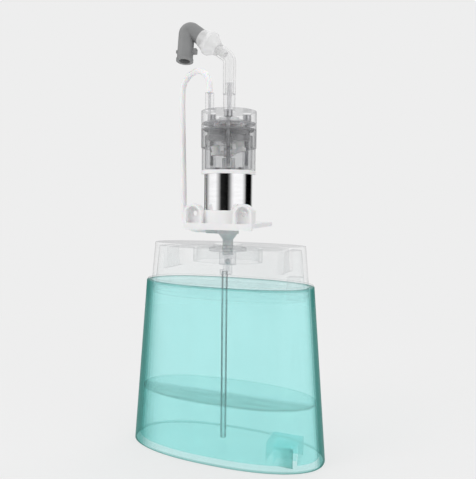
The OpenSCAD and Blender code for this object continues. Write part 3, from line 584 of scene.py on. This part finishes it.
def new_object(name: str, mesh: bmesh.types.BMesh, smooth: bool = True) -> bpy.types.Object:
    """Makes an object at the origin from a mesh under work.

    Args:
        name: The object's name.
        mesh: The mesh, which is freed.
        smooth: Whether its faces are shaded smooth.

    Returns:
        The object.
    """
    bmesh.ops.remove_doubles(mesh, verts=mesh.verts, dist=1e-7)
    bmesh.ops.recalc_face_normals(mesh, faces=mesh.faces)
    data = bpy.data.meshes.new(name)
    mesh.to_mesh(data)
    mesh.free()
    data.polygons.foreach_set("use_smooth", [smooth] * len(data.polygons))
    obj = bpy.data.objects.new(name, data)
    bpy.context.scene.collection.objects.link(obj)
    return obj


def skin_rings(mesh: bmesh.types.BMesh, rings: list[list[Vector]], closed: bool) -> list[list[bmesh.types.BMVert]]:
    """Joins rings of points with a strip of four-sided faces.

    Args:
        mesh: The mesh under work.
        rings: Rings of the same number of points.
        closed: Whether the last ring joins the first.

    Returns:
        The rings' vertices.
    """
    verts = [[mesh.verts.new(p) for p in ring] for ring in rings]
    pairs = list(zip(verts, verts[1:])) + ([(verts[-1], verts[0])] if closed else [])
    count = len(rings[0])
    for low, high in pairs:
        for k in range(count):
            n = (k + 1) % count
            mesh.faces.new((low[k], low[n], high[n], high[k]))
    return verts


class RepeatTree(Shader):
    """A Geometry Nodes tree with named inputs that puts copies of a shape on the object's points."""

    def __init__(self, name: str) -> None:
        """Starts an empty tree.

        Args:
            name: The tree's name.
        """
        tree = bpy.data.node_groups.new(name, "GeometryNodeTree")
        tree.interface.new_socket("Geometry", in_out="INPUT", socket_type="NodeSocketGeometry")
        tree.interface.new_socket("Geometry", in_out="OUTPUT", socket_type="NodeSocketGeometry")
        super().__init__(tree)
        self._ids: dict[str, str] = {}
        self._values: dict[str, object] = {}

    def named(self, name: str, value: float | int) -> bpy.types.NodeSocket:
        """Adds a named input.

        Args:
            name: Its name.
            value: Its value, whose type is the input's.

        Returns:
            Its socket in the tree.
        """
        kind = "NodeSocketInt" if isinstance(value, int) else "NodeSocketFloat"
        item = self.tree.interface.new_socket(name, in_out="INPUT", socket_type=kind)
        self._ids[name], self._values[name] = item.identifier, value
        return self.add(Node.GROUP_IN).outputs[name]

    def points(self) -> bpy.types.NodeSocket:
        """Returns the geometry of the object that the tree is on."""
        return self.add(Node.GROUP_IN).outputs["Geometry"]

    def vector(self, x: object = 0.0, y: object = 0.0, z: object = 0.0) -> bpy.types.NodeSocket:
        """Returns a vector.

        Args:
            x: Its X.
            y: Its Y.
            z: Its Z.
        """
        return self.add(Node.COMBINE, X=x, Y=y, Z=z).outputs[0]

    def swept(self, curve: bpy.types.NodeSocket, radius: object, sides: int) -> bpy.types.NodeSocket:
        """Returns a round wire along a curve.

        Args:
            curve: The curve.
            radius: The wire's radius.
            sides: Its number of sides.
        """
        profile = self.add(Node.CIRCLE, Resolution=sides, Radius=radius).outputs[0]
        return self.add(Node.SWEEP, Curve=curve, Profile_Curve=profile, Fill_Caps=True).outputs[0]

    def make(
        self, name: str, places: list[Vector], shape: bpy.types.NodeSocket, material: bpy.types.Material
    ) -> bpy.types.Object:
        """Ends the tree, runs it on an object with a point at each place, and keeps the mesh.

        Args:
            name: The object's name.
            places: Where the copies go.
            shape: The tree's shape.
            material: The copies' material.

        Returns:
            The object, with no modifier.
        """
        whole = self.add(Node.REALIZE, Geometry=shape).outputs[0]
        painted = self.add(Node.SET_MATERIAL, Geometry=whole, Material=material).outputs[0]
        self.add(Node.GROUP_OUT, Geometry=painted)
        data = bpy.data.meshes.new(name)
        data.from_pydata(places, [], [])
        obj = bpy.data.objects.new(name, data)
        bpy.context.scene.collection.objects.link(obj)
        step = obj.modifiers.new("repeat", "NODES")
        step.node_group = self.tree
        for key, value in self._values.items():
            step[self._ids[key]] = value
        whole_mesh = bpy.data.meshes.new_from_object(obj.evaluated_get(bpy.context.evaluated_depsgraph_get()))
        obj.modifiers.remove(step)
        obj.data = whole_mesh
        whole_mesh.polygons.foreach_set("use_smooth", [True] * len(whole_mesh.polygons))
        LOG.info("%s: %d faces", name, len(whole_mesh.polygons))
        return obj


def loose_boxes(obj: bpy.types.Object) -> list[tuple[Vector, Vector]]:
    """Returns the low and high corner of each separate solid of a CAD node.

    Args:
        obj: The node's object.
    """
    mesh = bmesh.new()
    mesh.from_mesh(obj.data)
    bmesh.ops.remove_doubles(mesh, verts=mesh.verts, dist=1e-6)
    left, boxes = set(mesh.verts), []
    while left:
        found = [left.pop()]
        for vert in found:
            for edge in vert.link_edges:
                other = edge.other_vert(vert)
                if other in left:
                    left.remove(other)
                    found.append(other)
        low = Vector([min(v.co[k] for v in found) for k in range(3)])
        high = Vector([max(v.co[k] for v in found) for k in range(3)])
        boxes.append((low, high))
    mesh.free()
    return boxes


@dataclass
class Viewpoint:
    """The camera: turned to the unit's right, slightly above it and close."""

    turn_deg: float = 20.91
    pitch_deg: float = 3.91
    roll_deg: float = 0.64
    distance: float = 0.2759
    side_shift: float = 0.00515
    height: float = 0.10839
    lens_mm: float = 40.84
    sensor_mm: float = 36.0

    def axes(self) -> tuple[Vector, Vector, Vector]:
        """Returns the camera's right, up and forward directions."""
        turn, pitch, roll = (math.radians(a) for a in (self.turn_deg, self.pitch_deg, self.roll_deg))
        forward = Vector((-math.sin(turn) * math.cos(pitch), math.cos(turn) * math.cos(pitch), -math.sin(pitch)))
        right = Vector((math.cos(turn), math.sin(turn), 0.0))
        up = right.cross(forward)
        return (
            right * math.cos(roll) + up * math.sin(roll),
            up * math.cos(roll) - right * math.sin(roll),
            forward,
        )

    def build(self) -> bpy.types.Object:
        """Makes the camera and returns it."""
        right, up, forward = self.axes()
        level = Vector((math.cos(math.radians(self.turn_deg)), math.sin(math.radians(self.turn_deg)), 0.0))
        place = -forward * self.distance + Vector((0.0, 0.0, self.height)) + level * self.side_shift
        data = bpy.data.cameras.new("camera")
        data.lens, data.sensor_width, data.sensor_fit = self.lens_mm, self.sensor_mm, "HORIZONTAL"
        data.clip_start, data.clip_end = 0.01, 10.0
        camera = bpy.data.objects.new("camera", data)
        turned = Matrix((right, up, -forward)).transposed().to_4x4()
        camera.matrix_world = Matrix.Translation(place) @ turned
        bpy.context.scene.collection.objects.link(camera)
        bpy.context.scene.camera = camera
        return camera


@dataclass
class Studio:
    """A pale room with two wide softboxes at the sides and narrow dark flags between them."""

    view: Viewpoint
    paper: float = 0.855
    floor_radius: float = 0.6
    strength: float = 0.9
    flags: tuple[tuple[float, float], ...] = (
        (-180, 0.8), (-168, 0.5), (-158, 0.12), (-128, 0.12), (-112, 0.6), (-98, 1.05), (-62, 1.15), (-48, 0.62),
        (-35, 0.02), (-3, 0.0), (6, 0.2), (19, 0.95), (28, 1.15), (70, 1.15), (84, 0.6), (94, 0.0), (134, 0.0),
        (146, 0.45), (160, 0.78), (180, 0.8),
    )

    def build(self) -> None:
        """Makes the room's light, the floor and the lamps."""
        scene = bpy.context.scene
        scene.view_settings.view_transform = "Standard"
        scene.cycles.transparent_max_bounces = 64
        self._world(scene)
        self._floor()
        self._lamp("key_softbox", (-0.35, -0.45, 0.55), 0.3, 1.3)
        self._lamp("fill_softbox", (0.5, -0.2, 0.35), 0.3, 0.35)
        self._lamp("rear_softbox", (0.1, 0.5, 0.5), 0.35, 0.7)

    def _world(self, scene: bpy.types.Scene) -> None:
        """Makes the light that comes from all round.

        Args:
            scene: The scene.
        """
        world = bpy.data.worlds.new("studio")
        scene.world = world
        world.use_nodes = True
        s = Shader(world.node_tree)
        way = s.add(Node.COORDS).outputs["Generated"]
        turn = math.radians(self.view.turn_deg)

        def along(x: float, y: float) -> bpy.types.NodeSocket:
            """Returns how far the way points along a level direction.

            Args:
                x: The direction's X.
                y: The direction's Y.
            """
            dot = s.add(Node.VECTOR_MATH, i0=way, i1=(x, y, 0.0))
            dot.operation = "DOT_PRODUCT"
            return dot.outputs["Value"]

        angle = s.math(
            "ARCTAN2", along(math.cos(turn), math.sin(turn)), along(math.sin(turn), -math.cos(turn))
        )
        ring = s.add(Node.RAMP, Fac=s.math("MULTIPLY_ADD", angle, 0.5 / math.pi, 0.5))
        stops = ring.color_ramp.elements
        while len(stops) < len(self.flags):
            stops.new(0.5)
        for stop, (degrees, level) in zip(stops, self.flags):
            stop.position = degrees / 360 + 0.5
            stop.color = (level, level, level, 1.0)
        height = s.add(Node.SEPARATE, Vector=way).outputs["Z"]
        over = s.ramp(s.math("ABSOLUTE", height), 0.35, 0.6)
        room = s.mix(over, ring.outputs[0], (1.0, 1.0, 1.0))
        lit = s.add(Node.BACKGROUND, Color=room, Strength=self.strength)
        paper = s.add(Node.BACKGROUND, Color=(self.paper, self.paper, self.paper), Strength=1.0)
        seen = s.add(Node.LIGHT_PATH).outputs["Is Camera Ray"]
        both = s.add(Node.MIX_SHADER, Fac=seen, i1=lit.outputs[0], i2=paper.outputs[0])
        s.add(Node.WORLD_OUTPUT, Surface=both.outputs[0])

    def _floor(self) -> None:
        """Makes the round floor, which fades into the paper behind."""
        mesh = bmesh.new()
        bmesh.ops.create_circle(mesh, cap_ends=True, segments=96, radius=self.floor_radius)
        bmesh.ops.translate(mesh, verts=mesh.verts, vec=(0.0, 0.0, -0.0003))
        floor = new_object("floor", mesh, smooth=False)
        material, s = new_material("pale_floor")
        reach = s.add(Node.VECTOR_MATH, i0=s.object_coords())
        reach.operation = "LENGTH"
        matte = s.ramp(reach.outputs["Value"], 0.07, 0.4, 0.22, 0.0)
        glow = s.add(Node.EMISSION, Color=(self.paper, self.paper, self.paper), Strength=1.0)
        card = s.add(Node.DIFFUSE, Color=(0.82, 0.82, 0.82))
        both = s.add(Node.MIX_SHADER, Fac=matte, i1=glow.outputs[0], i2=card.outputs[0])
        s.add(Node.OUTPUT, Surface=both.outputs[0])
        dress(floor, material)

    def _lamp(self, name: str, place: tuple[float, float, float], size: float, power: float) -> None:
        """Makes a square lamp that points at the unit.

        Args:
            name: Its name.
            place: Where it stands.
            size: Its side.
            power: Its power in watts.
        """
        data = bpy.data.lights.new(name, "AREA")
        data.size, data.energy = size, power
        lamp = bpy.data.objects.new(name, data)
        lamp.location = place
        lamp.rotation_euler = (Vector((0.0, 0.0, 0.1)) - Vector(place)).to_track_quat("-Z", "Y").to_euler()
        lamp.visible_glossy = False
        bpy.context.scene.collection.objects.link(lamp)


@dataclass
class InletHose:
    """The soft white hose from the suction spigot's side arm, up beside the motor and over into the pump's head."""

    diameter: float = 2.9 * MM
    route_mm: tuple[tuple[float, float, float], ...] = (
        (-12, 0, 113), (-14.5, 0, 113), (-17.2, 0, 113), (-19.4, 0, 113.3), (-21.2, 0, 114), (-22.8, 0, 115.1),
        (-23.9, 0, 116.6), (-24.6, 0, 118.3), (-24.9, 0, 120.4), (-25.1, 0, 128), (-25.2, 0, 136), (-25.4, 0, 144),
        (-25.6, 0, 152), (-25.8, 0, 160), (-26, 0, 168), (-26.2, 0.2, 175), (-26.3, 0.4, 181), (-26.3, 0.6, 184.8),
        (-25.6, 0.7, 188.1), (-23.7, 0.5, 190.9), (-20.9, -0.3, 192.8), (-17.4, -1.9, 193.5), (-13.9, -3.6, 192.9),
        (-11, -4.9, 191), (-9, -5.6, 188.2), (-8.2, -5.8, 184.8), (-8.2, -5.8, 181.4),
    )
    between: int = 4

    def points(self) -> list[Vector]:
        """Returns the route with a smooth curve through its points."""
        ends = [Vector(p) * MM for p in self.route_mm]
        ends = [2 * ends[0] - ends[1], *ends, 2 * ends[-1] - ends[-2]]
        found = []
        for a, b, c, d in zip(ends, ends[1:], ends[2:], ends[3:]):
            for i in range(self.between):
                t = i / self.between
                found.append(
                    0.5 * (2 * b + (c - a) * t + (2 * a - 5 * b + 4 * c - d) * t * t + (3 * b - a - 3 * c + d) * t**3)
                )
        return [*found, ends[-2]]

    def build(self, materials: Materials) -> bpy.types.Object:
        """Args:
            materials: The unit's finishes.

        Returns:
            The hose.
        """
        points = self.points()
        curve = bpy.data.curves.new("hose", "CURVE")
        curve.dimensions, curve.bevel_depth, curve.bevel_resolution = "3D", self.diameter / 2, 6
        curve.use_fill_caps = True
        spline = curve.splines.new("POLY")
        spline.points.add(len(points) - 1)
        for knot, p in zip(spline.points, points):
            knot.co = (*p, 1.0)
        spline.use_smooth = True
        hose = bpy.data.objects.new("hose", curve)
        bpy.context.scene.collection.objects.link(hose)
        dress(hose, materials.get("hose"))
        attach(hose, "pump_unit")
        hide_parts("inlet_hose")
        return hose


@dataclass
class OutletTube:
    """The clear tube that bends from the pump's head up to the spout's connector."""

    outer_r: float = 3.3 * MM
    inner_r: float = 2.2 * MM
    bend_r: float = 5.0 * MM
    slope_deg: float = 36.0
    sides: int = 64
    bend_steps: int = 28

    def centre_line(self, foot: Vector, end_reach: float, corner_z: float) -> list[tuple[Vector, Vector]]:
        """Returns the line's points and directions.

        Args:
            foot: Where the tube starts.
            end_reach: Distance of its end from the corner of its axes.
            corner_z: Height of that corner.
        """
        turn = math.radians(90 - self.slope_deg)
        top = corner_z - self.bend_r * math.tan(turn / 2)
        line = [(foot, Vector((0, 0, 1)))]
        for i in range(self.bend_steps + 1):
            t = turn * i / self.bend_steps
            centre = Vector((self.bend_r * (math.cos(t) - 1), 0, top + self.bend_r * math.sin(t)))
            line.append((centre, Vector((-math.sin(t), 0, math.cos(t)))))
        way = Vector((-math.sin(turn), 0, math.cos(turn)))
        line.append((Vector((0, 0, corner_z)) + way * end_reach, way))
        return line

    def build(self, materials: Materials) -> bpy.types.Object:
        """Makes the tube in place of its CAD node.

        Args:
            materials: The unit's finishes.

        Returns:
            The tube.
        """
        low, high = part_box("outlet_tube")
        inset = 0.04 * MM
        outer, inner = self.outer_r - inset, self.inner_r + inset
        turn = math.radians(90 - self.slope_deg)
        corner_z = SPOUT_CORNER_Z
        # the end face's highest point is the top of the CAD node's box
        end_reach = (high.z - self.outer_r * math.sin(turn) - corner_z) / math.cos(turn)
        line = self.centre_line(Vector((0, 0, low.z + 0.01 * MM)), end_reach - 0.01 * MM, corner_z)

        def ring(centre: Vector, way: Vector, radius: float) -> list[Vector]:
            """Returns a ring of points round the line.

            Args:
                centre: Its centre.
                way: The line's direction there.
                radius: Its radius.
            """
            side = Vector((0, 1, 0))
            other = side.cross(way)
            steps = [2 * math.pi * k / self.sides for k in range(self.sides)]
            return [centre + radius * (math.cos(a) * side + math.sin(a) * other) for a in steps]

        mesh = bmesh.new()
        rings = [ring(c, w, outer) for c, w in line] + [ring(c, w, inner) for c, w in reversed(line)]
        skin_rings(mesh, rings, closed=True)
        tube = new_object("outlet_tube_wall", mesh)
        tube.data.set_sharp_from_angle(angle=math.radians(50))
        dress(tube, materials.get("outlet"))
        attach(tube, "pump_unit")
        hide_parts("outlet_tube")
        return tube


@dataclass
class Liquid:
    """The rinse in the tank, with a lip where it climbs the wall, and a hole where the dip tube stands."""

    level: float = LIQUID_LEVEL
    wall: float = TANK_WALL
    gap: float = 0.06 * MM
    lip: float = 0.9 * MM
    steps: int = 192
    tube_gap: float = 0.05 * MM
    block_h: float = 40 * MM
    insets_mm: tuple[float, ...] = (0.0, 0.25, 0.6, 1.1, 1.8, 2.8, 4.2)

    def plan(self, half_w: float, half_d: float, z: float) -> list[Vector]:
        """Returns the oval outline at a height.

        Args:
            half_w: Half its width.
            half_d: Half its depth.
            z: Its height.
        """
        found = []
        for i in range(self.steps):
            t = 2 * math.pi * i / self.steps
            c, s = math.cos(t), math.sin(t)
            share = 2 / PLAN_POWER
            found.append(
                Vector((half_w * math.copysign(abs(c) ** share, c), half_d * math.copysign(abs(s) ** share, s), z))
            )
        return found

    def build(self, frame: dict, materials: Materials) -> bpy.types.Object:
        """Makes the liquid.

        Args:
            materials: The unit's finishes.

        Returns:
            The liquid.
        """
        low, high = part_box("tank_body")
        top = [v.co for v in frame["nodes"]["tank_body"].data.vertices if v.co.z > high.z - 0.01 * MM]
        rim = Vector((max(c.x for c in top), max(c.y for c in top)))
        foot = Vector((high.x, high.y))

        def half(z: float) -> Vector:
            """Returns the liquid's half width and depth at a height.

            Args:
                z: The height.
            """
            return foot.lerp(rim, z / high.z) - Vector((1, 1)) * (self.wall + self.gap)

        floor = self.wall + self.gap
        heights = [floor + (self.level + self.lip - floor) * i / 6 for i in range(7)]
        rings = [self.plan(half(z).x, half(z).y, z) for z in heights]
        for inset in self.insets_mm[1:]:
            rise = self.lip * math.exp(-inset / 0.8)
            size = half(self.level) - Vector((1, 1)) * inset * MM
            rings.append(self.plan(size.x, size.y, self.level + rise))
        mesh = bmesh.new()
        verts = skin_rings(mesh, rings, closed=False)
        mesh.faces.new(list(reversed(verts[0])))
        mesh.faces.new(verts[-1])
        liquid = new_object("liquid", mesh)
        for name, cutter in (("pocket", self._pocket_block()), ("tube", self._tube_block())):
            step = liquid.modifiers.new(name, "BOOLEAN")
            step.object, step.operation, step.solver = cutter, "DIFFERENCE", "EXACT"
        whole = bpy.data.meshes.new_from_object(liquid.evaluated_get(bpy.context.evaluated_depsgraph_get()))
        for step in list(liquid.modifiers):
            cutter = step.object
            liquid.modifiers.remove(step)
            bpy.data.objects.remove(cutter)
        liquid.data = whole
        liquid.data.set_sharp_from_angle(angle=math.radians(40))
        dress(liquid, materials.get("liquid"))
        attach(liquid, "tank")
        return liquid

    def _pocket_block(self) -> bpy.types.Object:
        """Returns a block round the locating pocket's walls."""
        mesh = bmesh.new()
        bmesh.ops.create_cube(mesh, size=1.0)
        outer = Vector((*POCKET_SIZE, 0.0)) + Vector((1, 1, 0)) * 2 * (self.wall + self.gap)
        size = outer + Vector((0.0, 0.0, self.block_h))
        bmesh.ops.scale(mesh, verts=mesh.verts, vec=size)
        bmesh.ops.translate(mesh, verts=mesh.verts, vec=(*POCKET_MID, POCKET_H + self.wall + self.gap - size.z / 2))
        return new_object("pocket_block", mesh, smooth=False)

    def _tube_block(self) -> bpy.types.Object:
        """Returns a rod a little thicker than the dip tube."""
        low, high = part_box("dip_tube")
        mesh = bmesh.new()
        radius = (high.x - low.x) / 2 + self.tube_gap
        bmesh.ops.create_cone(mesh, cap_ends=True, segments=48, radius1=radius, radius2=radius, depth=0.1)
        bmesh.ops.translate(mesh, verts=mesh.verts, vec=((low.x + high.x) / 2, 0, low.z - self.tube_gap + 0.05))
        return new_object("tube_block", mesh)


@dataclass
class Windings:
    """The armature's three coils, wound turn by turn in place of the CAD node's plain blocks."""

    wire_r: float = 0.2 * MM
    pitch: float = 0.42 * MM
    first_x: float = 3.22 * MM
    hole_w: float = 3.4 * MM
    end_over: float = 2.4 * MM
    layers: int = 3
    jitter: float = 0.02 * MM
    seed: int = 7

    def build(self, materials: Materials) -> bpy.types.Object:
        """Makes the coils.

        Args:
            materials: The unit's finishes.

        Returns:
            The coils.
        """
        low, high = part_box("armature_windings")
        turns = int((high.x - self.first_x - self.wire_r) / self.pitch) + 1
        tree = RepeatTree("coil_turns")
        pitch = tree.named("Pitch", self.pitch)
        wire = tree.named("Wire Radius", self.wire_r)
        width = tree.named("Pole Width", self.hole_w)
        height = tree.named("Pole Height", high.z - low.z - self.end_over)
        loops = tree.add(Node.JOIN)
        for layer in range(self.layers):
            grow = tree.math("MULTIPLY_ADD", wire, 2.1, layer * 0.8 * self.pitch)
            wide = tree.math("MULTIPLY_ADD", grow, 1.6, width)
            tall = tree.math("MULTIPLY_ADD", grow, 1.6, height)
            loop = tree.add(Node.QUADRILATERAL, Width=tall, Height=wide).outputs[0]
            fillet = tree.add(Node.FILLET, Curve=loop, Radius=0.5 * MM, Limit_Radius=True)
            fillet.mode = "POLY"
            fillet.inputs["Count"].default_value = 3
            tree.tree.links.new(tree.swept(fillet.outputs[0], wire, 6), loops.inputs[0])
        upright = tree.add(Node.TRANSFORM, Geometry=loops.outputs[0], Rotation=(0.0, math.pi / 2, 0.0)).outputs[0]
        count = tree.named("Turns", turns)
        row = tree.add(Node.LINE, Count=count, Start_Location=(self.first_x, 0.0, 0.0), Offset=tree.vector(pitch))
        shake = tree.add(Node.RANDOM, Seed=tree.named("Seed", self.seed))
        shake.data_type = "FLOAT_VECTOR"
        shake.inputs[0].default_value = (0.0, -self.jitter, -self.jitter)
        shake.inputs[1].default_value = (0.0, self.jitter, self.jitter)
        spots = tree.add(Node.SET_POSITION, Geometry=row.outputs[0], Offset=shake.outputs[0]).outputs[0]
        coil = tree.add(Node.REALIZE, Geometry=tree.add(Node.ON_POINTS, Points=spots, Instance=upright).outputs[0])
        turn = tree.math("MULTIPLY", tree.add(Node.INDEX).outputs[0], 2 * math.pi / 3)
        poles = tree.add(Node.ON_POINTS, Points=tree.points(), Instance=coil.outputs[0], Rotation=tree.vector(z=turn))
        middle = Vector((0.0, 0.0, (low.z + high.z) / 2))
        coils = tree.make("coil_turns", [middle] * 3, poles.outputs[0], materials.get("copper"))
        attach(coils, "rotor")
        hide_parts("armature_windings")
        return coils


@dataclass
class ScrewThreads:
    """The raised thread on the shafts of one kind of screw, as one mesh."""

    node: str
    shaft_r: float
    pitch: float
    foot_over: float
    length: float
    body: str = "pump_unit"

    def build(self, frame: dict, materials: Materials, finish: str) -> bpy.types.Object:
        """Makes the threads.

        Args:
            materials: The unit's finishes.
            finish: The screws' finish.

        Returns:
            The threads.
        """
        tree = RepeatTree(f"{self.node}_thread")
        pitch = tree.named("Pitch", self.pitch)
        length = tree.named("Length", self.length)
        radius = tree.named("Shaft Radius", self.shaft_r)
        turns = tree.math("DIVIDE", length, pitch)
        helix = tree.add(
            Node.SPIRAL, Resolution=14, Rotations=turns, Start_Radius=radius, End_Radius=radius, Height=length
        )
        ridge = tree.swept(helix.outputs[0], tree.math("MULTIPLY", pitch, 0.22), 4)
        screws = tree.add(Node.ON_POINTS, Points=tree.points(), Instance=ridge).outputs[0]
        places = [
            Vector(((low.x + high.x) / 2, (low.y + high.y) / 2, low.z + self.foot_over))
            for low, high in loose_boxes(frame["nodes"][self.node])
        ]
        threads = tree.make(f"{self.node}_threads", places, screws, materials.get(finish))
        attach(threads, self.body)
        return threads


@dataclass
class SubAssembly:
    """A group of CAD nodes and the finish of each."""

    name: str
    finishes: dict[str, str] = field(default_factory=dict)

    def dress(self, frame: dict, materials: Materials) -> None:
        """Gives each node its finish.

        Args:
            materials: The unit's finishes.
        """
        for node, finish in self.finishes.items():
            dress(frame["nodes"][node], materials.get(finish))
        LOG.info("%s: %d nodes", self.name, len(self.finishes))


UNIT = (
    SubAssembly("tank", {"tank_body": "tank"}),
    SubAssembly("lid", {
        "lid_shell": "lid", "lid_gasket": "lid", "valve_socket": "socket", "valve_cap": "socket", "dip_tube": "tube",
        "valve_ball": "steel",
    }),
    SubAssembly("bracket", {
        "pump_bracket": "white", "bracket_screws": "steel", "suction_spigot": "spigot", "spigot_o_ring": "rubber",
    }),
    SubAssembly("motor", {
        "motor_can": "chrome", "motor_end_cap": "black", "motor_terminals": "brass", "motor_brushes": "carbon",
        "motor_magnets": "ferrite", "motor_bushings": "brass", "motor_shaft": "steel", "armature_core": "ferrite",
        "armature_windings": "copper", "commutator": "copper",
    }),
    SubAssembly("pump", {
        "wobble_hub": "white", "wobble_pin": "steel", "wobble_plate": "white", "piston_stems": "silicone",
        "motor_plate": "white", "plate_screws": "steel", "cam_housing": "cam", "diaphragm_frame": "frame",
        "diaphragm": "cups", "valve_plate": "frosted", "inlet_valves": "silicone", "outlet_valve": "silicone",
        "head_seal": "cups", "head_cover": "head", "pump_screws": "steel",
    }),
    SubAssembly("spout", {"spout_connector": "connector", "connector_o_ring": "rubber", "spout_elbow": "grey"}),
)


THREADS = (
    (ScrewThreads("pump_screws", 0.9 * MM, 0.42 * MM, 0.3 * MM, 6 * MM), "steel"),
    (ScrewThreads("plate_screws", 0.8 * MM, 0.35 * MM, 0.2 * MM, 2 * MM), "steel"),
)


def main() -> None:
    """Builds the scene, piece by piece."""
    logging.basicConfig(level=logging.INFO, format="%(name)s: %(message)s")
    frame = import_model()
    view = Viewpoint()
    view.build()
    tank = TankFinish(
        "tinted_tank", (0.87, 1.0, 1.0), (0.22, 0.5, 0.47), (0.66, 1.0, 0.98), 0.1, 0.02, 0.27, 0.58, gloss=0.35,
        height=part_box("tank_body")[1].z,
    )
    materials = Materials(tank)
    InletHose().build(materials)
    Studio(view).build()
    for group in UNIT:
        group.dress(frame, materials)
    OutletTube().build(materials)
    Liquid().build(frame, materials)
    Windings().build(materials)
    for screws, finish in THREADS:
        screws.build(frame, materials, finish)


if __name__ == "__main__":
    main()
